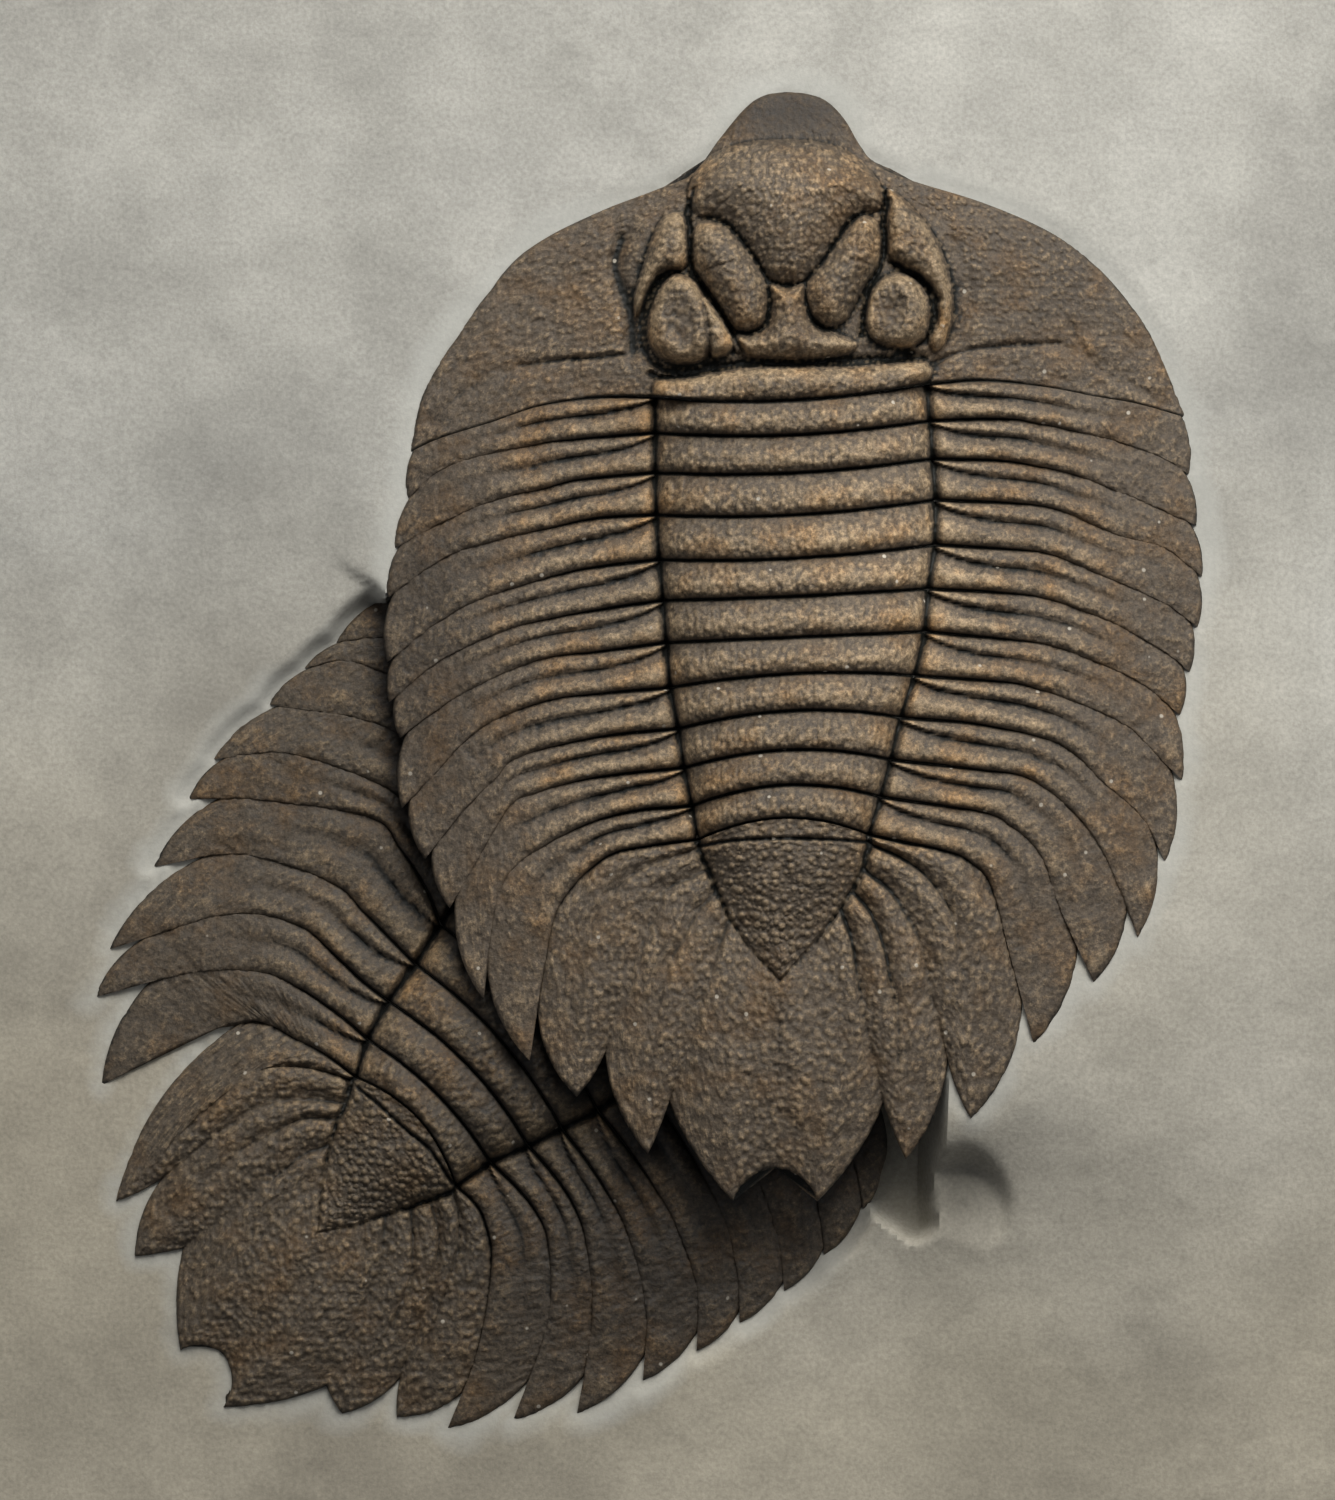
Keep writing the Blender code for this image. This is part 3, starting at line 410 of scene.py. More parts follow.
def shell(name, blocks, cuts, lay_out, folded=False):
    bm = flat_box(blocks, cuts, folded)
    piece = to_object(bm, name + "_shell")
    mesh = piece.data
    spots = points_of(mesh)
    top = spots[:, 2] > 0.5
    plan, high, low, grain, dirt_and_painted_shade = lay_out(2.0 * spots[:, 0], 0.5 - spots[:, 1])
    placed = np.column_stack((plan, np.where(top, high, low)))
    mesh.vertices.foreach_set("co", placed.ravel())
    write_attribute(mesh, "on_top", top.astype(float))
    write_attribute(mesh, "grain", grain)
    # This mask paints seams, furrows and eye hollows darker, partly for dirt and partly as painted shade.
    write_attribute(mesh, "dirt_and_painted_shade", np.clip(dirt_and_painted_shade, 0.0, 1.0))
    if folded:
        bm = bmesh.new()
        bm.from_mesh(mesh)
        bmesh.ops.remove_doubles(bm, verts=bm.verts[:], dist=1e-6)
        bm.to_mesh(mesh)
        bm.free()
    on_top = np.empty(len(mesh.vertices), dtype=np.float32)
    mesh.attributes["on_top"].data.foreach_get("value", on_top)
    write_attribute(mesh, "relief", local_relief(mesh, on_top > 0.5, RELIEF_ROUNDS) / MM)
    mesh.shade_smooth()
    mesh.set_sharp_from_angle(angle=math.radians(70.0))
    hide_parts(name)
    print(name, len(mesh.polygons), "faces")
    return piece

# %% [markdown]
# ## Thorax plates
#
# A thorax plate is a ring with a side lobe on each side. Each side lobe has two bands with an
# oblique furrow between them: the front band starts as a thin wedge at the axial groove and the
# rear band as a thick one. Every band and ring is highest near its rear edge and drops steeply
# there, so that light from the head end leaves a thin dark line behind it. The crests are powers
# of the distance from a band's middle, which gives round backs and sharp furrows.

# %% Relief of the thorax
ROLL_RADIUS = 0.7 * MM
SEAM_ROLL = 0.45 * MM
MARGIN_BOW = 0.09
LINE_WIDTH = 0.17 * MM
THORAX_SIDE_LENGTH = 42.0 * MM


def band(share, lean=1.45):
    return 1.0 - np.abs(2.0 * np.clip(share, 0.0, 1.0) ** lean - 1.0) ** 2.3


def rolled(distance, radius):
    inside = np.clip(1.0 - distance / radius, 0.0, 1.0)
    return -radius * (1.0 - np.sqrt(1.0 - inside ** 2 * 0.98))


def line(distance, width=LINE_WIDTH):
    return np.exp(-(distance / width) ** 2)


def furrow_place(across):
    side = side_share(across)
    return 0.05 + 0.43 * (1.0 - np.exp(-side / 0.12)) - 0.08 * side


def rough(plan, seed):
    return (0.15 * wander(plan, 2.6 * MM, seed) + 0.09 * wander(plan, 1.0 * MM, seed + 1)
            + 0.07 * wander(plan, 0.5 * MM, seed + 2))


def thorax_plan(animal, index, across, share):
    front = animal.seams[index].points(across, 1.0, SEAM_GAP)
    rear = animal.seams[index + 1].points(across, 0.0, -SEAM_GAP)
    step = rear - front
    outward = np.stack((-step[:, 1], step[:, 0]), axis=1) * np.sign(across)[:, None]
    bow = MARGIN_BOW * 4.0 * share * (1.0 - share) * side_share(across) ** 6
    return front + step * share[:, None] + outward * bow[:, None], np.linalg.norm(step, axis=1)


def thorax_relief(animal, across, share, span, plan, seed):
    side = side_share(across)
    on_ring = np.abs(across) <= 1.0
    share = np.clip(share + 0.02 * wander(plan, 5.0 * MM, seed + 40) * np.sin(math.pi * share), 0.0, 1.0)
    furrow = furrow_place(across)
    front = band(share / furrow)
    rear = band((share - furrow) / (1.0 - furrow))
    paired = np.where(share < furrow, -0.5 + 0.95 * front, -0.5 + 1.3 * rear)
    single = -0.2 + 0.45 * band(share) + 0.3 * share
    merge = smoothstep((side - 0.45) / 0.4)
    fade = 1.0 - 0.6 * smoothstep(side / 0.9)
    ribbed = (paired * (1.0 - merge) + single * merge) * fade
    ring = -0.5 + 1.35 * band(share) - 0.3 * smoothstep((np.abs(across) - 0.8) / 0.2)
    swell = 1.0 + 0.25 * wander(plan, 7.0 * MM, seed + 50)
    relief = np.where(on_ring, ring, ribbed) * swell * animal.relief
    crest = np.where(on_ring, band(share), np.where(share < furrow, front, rear))
    worn = 0.35 + 0.65 * smoothstep(crest * 1.4)
    coarse = pimples(plan, 1.15 * MM, 0.9, seed) * np.where(on_ring, 0.38, 0.14)
    fine = pimples(plan, 0.72 * MM, 0.85, seed + 3) * 0.2
    grain = np.maximum(coarse, fine) * worn
    ends = np.minimum(share, 1.0 - share) * span
    strength = 1.0 - 0.9 * smoothstep((side - 0.1) / 0.6)
    # Painted shade and dirt: the plate ends, the pleural furrow and the axial groove are painted darker.
    dirt_and_painted_shade = line(ends, 0.26 * MM) * (0.05 + 0.95 * strength)
    trough_line = line((share - furrow) * span) * smoothstep(side / 0.03) * strength
    axial = np.where(on_ring, (1.0 - np.abs(across)) * 17.0, side * 40.0) * MM
    dirt_and_painted_shade = np.maximum(dirt_and_painted_shade, np.maximum(trough_line * ~on_ring, line(axial, 0.38 * MM)))
    return relief + grain + rough(plan, seed + 60), grain, dirt_and_painted_shade


def thorax_lay_out(animal, index, reach):
    def lay_out(x, down):
        across = np.interp(x, np.linspace(-1.0, 1.0, len(reach)), reach)
        share = down - 0.5 * np.sin(2.0 * math.pi * down) / (2.0 * math.pi)
        plan, span = thorax_plan(animal, index, across, share)
        relief, grain, dirt_and_painted_shade = thorax_relief(animal, across, share, span, plan, index + 1)
        arch = animal.arch(across, 1.0)
        base = animal.margin(plan)
        side = side_share(across)
        high = base + arch + relief * MM
        high += rolled((1.0 - side) * THORAX_SIDE_LENGTH, ROLL_RADIUS)
        edge = SEAM_ROLL * (1.0 - 0.9 * smoothstep(side / 0.6))
        high += rolled(share * span, edge) + rolled((1.0 - share) * span, edge)
        low = base + 0.55 * arch - SHELL_THICKNESS
        return plan, high, low, grain, dirt_and_painted_shade

    return lay_out


# %% Thorax of both animals
UPPER_REACH = np.linspace(-2.0, 2.0, 27)
LOWER_REACH = np.concatenate((np.linspace(-2.0, -1.0, 10), np.linspace(-0.75, 0.75, 7),
                              np.linspace(1.0, 2.0, 10)))
plates = []
for index in range(11):
    plates.append(shell(f"upper_thorax_segment_{index + 1:02d}", (26, 1), 19,
                        thorax_lay_out(upper, index, UPPER_REACH)))
for index in range(9):
    plates.append(shell(f"lower_thorax_segment_{index + 3:02d}", (26, 1), 17,
                        thorax_lay_out(lower, index, LOWER_REACH)))

# %% [markdown]
# ## Tail shields
#
# The tail is several plates grown into one. Its ribs fan back from a short middle lobe, and the
# ends of the ribs stand free as broad spines. The blank is laid out as two half fans that are
# folded together on the midline and then welded there, so that the ribs follow the fan instead
# of crossing a square grid.

# %% Relief of the tail
TAIL_BOWS = (0.10, 0.04, 0.08, 0.02, 0.05, -0.16)
TURNS = 6
TAIL_SIDE_LENGTH = 30.0 * MM


def tail_plan(animal, across, turn):
    plan = np.zeros((len(across), 2))
    last = animal.seams[-1]
    out = side_share(across)
    pick = np.arange(len(across))
    lower_line = np.clip(np.floor(turn).astype(int), 0, TURNS - 1)
    blend = (turn - lower_line)[:, None]
    for sign, fans in ((-1, animal.tail_left), (1, animal.tail_right)):
        front = last.points(sign * (1.0 + out), 1.0, SEAM_GAP)
        lines = np.stack([front] + [along(fan, out) for fan in fans])
        spread = lines[lower_line, pick] * (1.0 - blend) + lines[lower_line + 1, pick] * blend
        chord = lines[lower_line + 1, pick] - lines[lower_line, pick]
        bow = np.array(TAIL_BOWS)[lower_line] * 4.0 * blend[:, 0] * (1.0 - blend[:, 0]) * out ** 4
        spread = spread + np.stack((chord[:, 1], -chord[:, 0]), axis=1) * -sign * bow[:, None]
        spine = (animal.tail_spine[0] * (1.0 - turn[:, None] / TURNS)
                 + animal.tail_spine[1] * turn[:, None] / TURNS)
        grooves = np.stack([last.points(np.full(1, float(sign)), 1.0)[0]] + [fan[0] for fan in fans])
        groove = grooves[lower_line] * (1.0 - blend) + grooves[lower_line + 1] * blend
        middle = np.clip(np.abs(across), 0.0, 1.0)
        front_ring = last.points(sign * middle, 1.0, SEAM_GAP)
        straight = spine * (1.0 - middle[:, None]) + groove * middle[:, None]
        first = np.clip(1.0 - turn[:, None], 0.0, 1.0)
        ring = front_ring * first + straight * (1.0 - first)
        chosen = np.where(np.abs(across)[:, None] > 1.0, spread, ring)
        here = (across * sign > 0) | ((across == 0) & (sign > 0))
        plan[here] = chosen[here]
    return plan


def tail_lay_out(animal, ring_line, axis_tip, strength_sides, seed):
    groove_line = smooth_line(ring_line)
    ridge_line = smooth_line(axis_tip)

    def lay_out(x, down):
        across = np.interp(x, (-1.0, -0.34, 0.34, 1.0), (-2.0, -1.0, 1.0, 2.0))
        turn = down * TURNS
        plan = tail_plan(animal, across, turn)
        side = side_share(across)
        on_axis = np.abs(across) <= 1.0
        strength = np.where(across < 0, *strength_sides) * animal.relief
        fade = 0.86 * (1.0 - 0.75 * smoothstep(down) ** 1.5)
        arch = animal.arch(across, fade, down)
        wobble = turn + 0.12 * wander(plan, 6.0 * MM, seed + 7) * smoothstep(side / 0.2)
        part = np.clip(wobble, 0.0, TURNS - 0.001) % 1.0
        last = smoothstep(turn - TURNS + 2.0)
        ribs = (-0.5 + 1.35 * band(1.0 - part)) * (1.0 - last) + 0.1 * last
        weaker = 1.0 - 0.85 * smoothstep((side - 0.1) / 0.85)
        rib = ribs * weaker * strength * smoothstep(side / 0.03)
        near_ring_groove = line(distance_to(plan, groove_line), 0.28 * MM)
        ring = 0.25 - 0.75 * near_ring_groove
        ridge = 0.5 * line(distance_to(plan, ridge_line), 1.6 * MM)
        relief = np.where(on_axis, ring, rib) + ridge
        coarse = pimples(plan, 1.15 * MM, 0.9, seed) * np.where(on_axis, 0.42, 0.34)
        fine = pimples(plan, 0.72 * MM, 0.85, seed + 3) * 0.2
        grain = np.maximum(coarse, fine)
        near_line = np.minimum(part, 1.0 - part) * (2.2 + 6.0 * side) * MM
        # Painted shade and dirt: the rib lines, the ring groove, the axial groove and the front seam are
        # painted darker.
        dirt_and_painted_shade = line(near_line, 0.26 * MM) * (1.0 - smoothstep(side / 0.7)) * (1.0 - last) * strength
        axial = np.where(on_axis, (1.0 - np.abs(across)) * 13.0 * (1.0 - 0.7 * down), side * 32.0) * MM
        dirt_and_painted_shade = np.maximum(dirt_and_painted_shade * ~on_axis, line(axial, 0.4 * MM) * (1.0 - down) ** 0.7)
        dirt_and_painted_shade = np.maximum(dirt_and_painted_shade, near_ring_groove * on_axis)
        base = animal.margin(plan)
        high = base + arch + (relief + grain + rough(plan, seed + 60)) * MM
        high += rolled((1.0 - side) * TAIL_SIDE_LENGTH, ROLL_RADIUS)
        high += rolled(turn * 5.0 * MM, SEAM_ROLL)
        dirt_and_painted_shade = np.maximum(dirt_and_painted_shade, line(turn * 5.0 * MM, 0.3 * MM) * (1.0 - 0.7 * smoothstep(side)))
        low = base + 0.55 * arch - SHELL_THICKNESS
        return plan, high, low, grain, dirt_and_painted_shade

    return lay_out


# %% Tails of both animals
UPPER_TAIL_RING = ((698, 846), (735, 840), (783, 838), (830, 839), (868, 842))
UPPER_TAIL_RIDGE = ((783, 960), (788, 1000), (796, 1060), (802, 1110))
LOWER_TAIL_RING = ((357, 1088), (378, 1104), (402, 1126), (430, 1150), (452, 1184))
LOWER_TAIL_RIDGE = ((330, 1222), (300, 1258), (268, 1300))
plates.append(shell("upper_pygidium", (12, 6), 27, folded=True,
                    lay_out=tail_lay_out(upper, UPPER_TAIL_RING, UPPER_TAIL_RIDGE, (0.6, 1.1), 21)))
plates.append(shell("lower_pygidium", (12, 6), 27, folded=True,
                    lay_out=tail_lay_out(lower, LOWER_TAIL_RING, LOWER_TAIL_RIDGE, (1.0, 0.9), 23)))

# %% [markdown]
# ## The head shield
#
# The head carries the animal's most particular forms: a swollen front lobe that narrows to the
# rear, a pair of oblique side lobes, the eyes with their raised rims, the neck ring and the
# border. Each swelling is given by its outline. Its height climbs like a quarter circle from
# the outline inwards, and where two swellings meet, the higher one wins, which leaves the sharp
# creases of the real shell. Round domes would be quicker, but no lobe here is quite round.

# %% Outlines of the head
HEAD_LEFT = ((409, 452), (420, 400), (440, 360), (500, 275), (540, 240), (600, 210), (660, 187),
             (693, 172), (720, 137), (745, 107), (764, 94), (786, 90))
HEAD_RIGHT = ((1187, 417), (1170, 375), (1150, 330), (1115, 283), (1080, 250), (1040, 225),
              (980, 200), (900, 175), (868, 155), (845, 118), (826, 99), (806, 92), (786, 90))
HEAD_MIDLINE_SHARES = (0.0, 0.25, 0.5, 0.65, 0.8, 0.88, 1.0)
HEAD_MIDLINE = (402, 320, 250, 205, 162, 138, 90)
# Each swelling: its outline, the width of its rounded edge and its height, both in millimetres.
HEAD_SWELLINGS = {
    "front_lobe": (((745, 141), (785, 138), (822, 141), (852, 152), (874, 172), (886, 196),
                    (880, 210), (862, 214), (848, 224), (835, 243), (822, 262), (805, 281),
                    (788, 285), (770, 280), (757, 262), (743, 243), (729, 227), (712, 219),
                    (697, 215), (687, 198), (692, 176), (712, 153)), 9.5, 4.9),
    "left_side_lobe": (((692, 232), (699, 222), (713, 219), (728, 226), (742, 241), (755, 260),
                        (765, 280), (769, 303), (764, 325), (748, 334), (732, 330), (720, 312),
                        (706, 290), (693, 268), (689, 248)), 4.2, 4.4),
    "right_side_lobe": (((863, 214), (877, 221), (883, 240), (880, 262), (868, 283), (858, 300),
                         (846, 321), (830, 329), (814, 322), (806, 306), (804, 291), (809, 278),
                         (823, 261), (836, 242), (849, 224)), 4.2, 4.4),
    "back_lobe": (((770, 284), (788, 287), (805, 284), (808, 308), (818, 326), (838, 332),
                   (858, 345), (840, 358), (795, 362), (747, 358), (730, 345), (734, 333),
                   (752, 333), (766, 325), (770, 304)), 4.0, 3.7),
    "left_eye": (((681, 273), (668, 277), (656, 293), (647, 318), (647, 340), (656, 356),
                  (672, 364), (692, 365), (707, 358), (716, 343), (716, 325), (708, 303),
                  (698, 283)), 2.8, 4.6),
    "left_eye_base": (((702, 296), (716, 308), (728, 326), (735, 344), (727, 356), (712, 358),
                       (704, 340), (700, 318)), 1.8, 3.9),
    "right_eye": (((873, 288), (884, 276), (900, 272), (917, 280), (930, 298), (932, 322),
                   (924, 340), (908, 349), (888, 348), (872, 340), (864, 322), (866, 303)), 3.0, 4.4),
    "left_eye_ridge": (((664, 216), (676, 211), (687, 219), (690, 242), (689, 262), (681, 271),
                        (666, 273), (652, 288), (643, 308), (635, 318), (633, 300), (640, 272),
                        (649, 243), (656, 226)), 2.2, 3.3),
    "right_eye_ridge": (((888, 188), (902, 196), (920, 214), (938, 240), (950, 272), (954, 305),
                         (948, 338), (936, 352), (928, 340), (936, 318), (933, 297), (920, 278),
                         (902, 266), (888, 255), (886, 232), (884, 208)), 2.6, 3.2),
    "neck_ring": (((655, 380), (690, 376), (740, 368), (795, 366), (850, 366), (900, 362),
                   (928, 362), (931, 378), (905, 394), (860, 402), (790, 405), (730, 410),
                   (680, 413), (656, 407)), 2.4, 3.5),
}
# Each furrow: its line, its width and its depth in millimetres.
HEAD_FURROWS = {
    "neck": (((650, 374), (668, 378), (700, 372), (745, 363), (795, 365), (845, 360), (925, 358)), 0.5, 1.0),
    "left_border": (((640, 352), (600, 357), (560, 360), (520, 365)), 0.45, 0.8),
    "left_border_end": (((535, 363), (490, 376), (455, 398), (432, 422)), 0.9, 0.35),
    "right_border": (((928, 366), (960, 352), (1000, 346), (1060, 343)), 0.45, 0.7),
    "right_border_end": (((1045, 344), (1075, 350), (1110, 368), (1165, 405)), 0.8, 0.35),
    "right_step": (((1072, 322), (1080, 345), (1098, 366), (1125, 384)), 0.5, 0.4),
    "round_left_eye": (((658, 276), (646, 298), (640, 325), (643, 350), (660, 368), (690, 372),
                        (715, 364)), 0.5, 1.0),
    "left_cheek": (((622, 238), (615, 262), (620, 285), (630, 312), (633, 350)), 1.2, 1.2),
    "right_cheek": (((900, 192), (930, 212), (955, 245), (966, 290), (960, 345)), 1.4, 0.5),
    "left_axial": (((694, 190), (688, 215), (690, 245), (691, 268), (700, 283), (716, 305), (732, 333),
                    (742, 352)), 0.42, 1.1),
    "right_axial": (((889, 200), (884, 225), (884, 245), (881, 265), (868, 287), (866, 305),
                     (862, 335)), 0.42, 1.1),
    "eye_crease_right": (((890, 262), (905, 270), (925, 282), (938, 300)), 0.45, 0.9),
    "lobe_crease_left": (((702, 273), (716, 268), (735, 262)), 0.2, 0.25),
    "lobe_crease_right": (((850, 261), (862, 263), (877, 268)), 0.2, 0.25),
}
# Each hollow: its centre, half length, half width and turn in pixels and degrees, and its depth.
HEAD_HOLLOWS = (((681, 320), 32, 20, 95, 1.2), ((888, 312), 30, 19, 80, 1.5), ((905, 354), 12, 7, 0, 1.2))


def dome(plan, centre, half_length, half_width, turn, height):
    away = (plan - metres(centre)) / POINT_PITCH
    angle = math.radians(turn)
    u = away[:, 0] * math.cos(angle) + away[:, 1] * math.sin(angle)
    v = away[:, 1] * math.cos(angle) - away[:, 0] * math.sin(angle)
    radius = np.sqrt((u / half_length) ** 2 + (v / half_width) ** 2)
    return np.clip(1.0 - radius ** 2.4, 0.0, 1.0) * height


def closed_line(points, steps=6):
    ring = smooth_line(points[-2:] + points + points[:2], steps)
    return ring[steps * 2:-steps]


def depth_inside(plan, outline):
    x, y = plan[:, 0], plan[:, 1]
    inside = np.zeros(len(plan), dtype=bool)
    for (ax, ay), (bx, by) in zip(outline, outline[1:]):
        crosses = (ay > y) != (by > y)
        with np.errstate(divide="ignore", invalid="ignore"):
            inside ^= crosses & (x < ax + (y - ay) * (bx - ax) / (by - ay))
    away = distance_to(plan, outline)
    return np.where(inside, away, -away)


def head_relief(plan, ahead):
    off_centre = (plan[:, 0] - metres((786.0, 0.0))[0]) / (150 * POINT_PITCH)
    platform = 2.4 * np.exp(-off_centre ** 2) * (1.0 - ahead ** 4)
    swell = np.zeros(len(plan))
    for points, edge, height in HEAD_SWELLINGS.values():
        inwards = np.clip(depth_inside(plan, closed_line(points)) / (edge * MM), 0.0, 1.0)
        swell = np.maximum(swell, height * (1.0 - (1.0 - inwards) ** 2) ** 0.7)
    furrows = np.zeros(len(plan))
    # Painted shade and dirt: the furrows, and the eye hollows below, are painted darker.
    dirt_and_painted_shade = np.zeros(len(plan))
    for points, width, depth in HEAD_FURROWS.values():
        away = distance_to(plan, smooth_line(points, 4))
        furrows = np.minimum(furrows, -depth * line(away, width * MM))
        dirt_and_painted_shade = np.maximum(dirt_and_painted_shade, min(1.0, depth) ** 2 * line(away, 0.45 * width * MM))
    hollows = np.zeros(len(plan))
    for place in HEAD_HOLLOWS:
        hollows = np.maximum(hollows, dome(plan, *place))
    return platform + swell + furrows - hollows, dirt_and_painted_shade + 0.25 * hollows, swell


def head_lay_out(animal):
    left = smooth_line(HEAD_LEFT)
    right = smooth_line(HEAD_RIGHT)
    seam = animal.seams[0]
    centre_x = metres((786.0, 0.0))[0]

    def bowed(across, left_end, middle, right_end):
        c = across[:, None] / 2.0
        return left_end * c * (c - 1.0) / 2.0 + middle * (1.0 - c * c) + right_end * c * (c + 1.0) / 2.0

    def lay_out(x, down):
        across = 2.0 * x
        ahead = 1.0 - down
        midline = np.interp(ahead, HEAD_MIDLINE_SHARES, HEAD_MIDLINE)
        middle = np.stack((np.full_like(ahead, centre_x),
                           (PLAN_CENTRE[1] - midline) * POINT_PITCH), axis=1)
        left_end = along(left, ahead)
        right_end = along(right, ahead)
        rows = bowed(across, left_end, middle, right_end)
        zero = np.zeros_like(ahead)
        start = np.tile(metres((786.0, HEAD_MIDLINE[0])), (len(ahead), 1))
        flat = bowed(across, along(left, zero), start, along(right, zero))
        behind = seam.points(across, 0.0, -SEAM_GAP)
        plan = rows + (behind - flat) * ((1.0 - ahead) ** 2)[:, None]
        c = np.abs(across) / 2.0
        cheek = animal.side_rise * (1.0 - c ** 2.6) * (1.0 - ahead ** 3)
        relief, dirt_and_painted_shade, swell = head_relief(plan, ahead)
        calm = 1.0 - 0.85 * smoothstep((ahead - 0.82) / 0.1)
        coarse = pimples(plan, 1.1 * MM, 0.85, 31) * 0.32 * smoothstep(swell - 1.0)
        fine = pimples(plan, 0.8 * MM, 0.9, 34) * 0.26
        grain = np.maximum(coarse, fine) * calm
        base = animal.margin(plan)
        half_width = np.linalg.norm(right_end - left_end, axis=1) / 2.0
        high = base + cheek + (relief + grain + rough(plan, 90) * calm) * MM
        high += rolled((1.0 - c) * half_width, ROLL_RADIUS)
        high += rolled(ahead * 42.0 * MM, SEAM_ROLL)
        dirt_and_painted_shade = np.maximum(dirt_and_painted_shade, line(ahead * 42.0 * MM, 0.3 * MM))
        low = base + 0.55 * cheek - SHELL_THICKNESS
        return plan, high, low, grain, dirt_and_painted_shade

    return lay_out


plates.append(shell("upper_cephalon", (20, 10), 19, head_lay_out(upper), folded=True))

# %% [markdown]
# ## The slab
#
# The slab is shale that was scraped down to the fossils. Its surface is a thin plate bent
# through a few measured levels, as a drawing spline would be, and near a plate's margin it is
# drawn up or down to meet that margin. Under the plates it drops away: rays sent up from below
# find the lowest plate over every point. The hollow under the raised tail and the ledge beside
# it are tapered troughs.

# %% Levels of the rock
ROCK_LEVELS = (
    (-100, -100, 0.4), (667, -60, 0.8), (1435, -100, 0.4), (785, 70, 0.7), (560, 200, 0.8),
    (1010, 190, 0.9), (430, 380, 1.0), (1200, 400, 1.4), (360, 500, 1.3), (300, 620, 0.3),
    (180, 740, 0.0), (60, 950, 0.0), (80, 1200, 0.0), (200, 1430, 0.0), (520, 1470, 0.0),
    (760, 1380, 0.1), (-100, 700, 0.3), (-100, 1600, 0.0), (667, 1650, 0.0), (1225, 560, 2.8),
    (1215, 720, 4.8), (1190, 860, 6.6), (1150, 980, 7.8), (1080, 1040, 8.3), (1010, 1090, 8.4),
    (960, 1120, 8.3), (1330, 600, 2.5), (1330, 900, 5.0), (1435, 800, 3.5), (1300, 1050, 5.0),
    (1180, 1120, 6.0), (1100, 1180, 4.6), (1010, 1190, 4.6), (985, 1240, 2.8), (900, 1260, 0.9),
    (1050, 1310, 1.4), (1250, 1300, 2.0), (1435, 1200, 2.4), (1100, 1450, 0.4), (1435, 1600, 0.3),
)
HOLLOW_ENDS = ((850, 1100, 75), (915, 1222, 8))
LEDGE_FOOT = ((915, 1225, 45), (960, 1215, 45))


def thin_plate(levels):
    knots = np.array([metres(entry[:2]) for entry in levels])
    heights = np.array([entry[2] * MM for entry in levels])
    count = len(knots)

    def bend(distance):
        return distance ** 2 * np.log(np.maximum(distance, 1e-12))

    system = np.zeros((count + 3, count + 3))
    system[:count, :count] = bend(np.linalg.norm(knots[:, None] - knots[None], axis=2))
    system[:count, count] = 1.0
    system[:count, count + 1:] = knots
    system[count:, :count] = system[:count, count:].T
    weights = np.linalg.solve(system, np.concatenate((heights, np.zeros(3))))

    def surface(plan):
        away = np.linalg.norm(plan[:, None] - knots[None], axis=2)
        return bend(away) @ weights[:count] + weights[count] + plan @ weights[count + 1:]

    return surface


def trough(plan, ends, floor, slope):
    start = metres(ends[0][:2])
    run = metres(ends[1][:2]) - start
    share = np.clip((plan - start) @ run / (run @ run), 0.0, 1.0)
    radius = (ends[0][2] * (1.0 - share) + ends[1][2] * share) * POINT_PITCH
    out = np.linalg.norm(plan - start - share[:, None] * run, axis=1) - radius
    return floor * MM + slope * np.maximum(out, 0.0)


# %% Where the rock meets the plates
MARGIN_DROP = 0.45 * MM
MARGIN_REACH = 9.0 * MM
MARGIN_BANK = 2.5 * MM


def margin_points():
    shares = np.linspace(0.0, 1.0, 9)
    found = []

    def thorax_side(animal, indices, sign):
        for index in indices:
            plan, _ = thorax_plan(animal, index, np.full(9, 2.0 * sign), shares)
            found.append(np.column_stack((plan, animal.margin(plan))))

    def tail_side(animal, sign, turns):
        plan = tail_plan(animal, np.full(len(turns), 2.0 * sign), turns)
        found.append(np.column_stack((plan, animal.margin(plan))))

    for outline in (HEAD_LEFT, HEAD_RIGHT):
        plan = along(smooth_line(outline), np.linspace(0.0, 1.0, 60))
        found.append(np.column_stack((plan, upper.margin(plan))))
    thorax_side(upper, range(0, 4), -1)
    thorax_side(upper, range(0, 11), 1)
    tail_side(upper, 1, np.linspace(0.0, 2.4, 30))
    thorax_side(lower, range(0, 9), -1)
    thorax_side(lower, range(1, 9), 1)
    tail_side(lower, -1, np.linspace(0.0, 6.0, 60))
    tail_side(lower, 1, np.linspace(0.0, 6.0, 60))
    return np.vstack(found)


def drawn_to_margins(plan, level):
    edge = margin_points()
    edge[:, 2] -= MARGIN_DROP
    tree = KDTree(len(edge))
    for index, point in enumerate(edge):
        tree.insert((point[0], point[1], 0.0), index)
    tree.balance()
    free = rock_level(edge[:, :2])
    distance = np.full(len(plan), 0.1)
    for index, (x, y) in enumerate(plan):
        near = tree.find_n((x, y, 0.0), 4)
        distance[index] = near[0][2]
        if near[0][2] > MARGIN_REACH:
            continue
        weights = np.array([1.0 / (entry[2] + 0.4 * MM) for entry in near])
        rise = np.array([edge[entry[1], 2] - free[entry[1]] for entry in near])
        change = float(weights @ rise / weights.sum())
        hold = 1.0 - smoothstep(near[0][2] / (MARGIN_REACH if change > 0 else MARGIN_BANK))
        level[index] += hold * change
    return level, distance


bare_surface = thin_plate(ROCK_LEVELS)


def rock_level(plan):
    return SLAB_THICKNESS + bare_surface(plan)


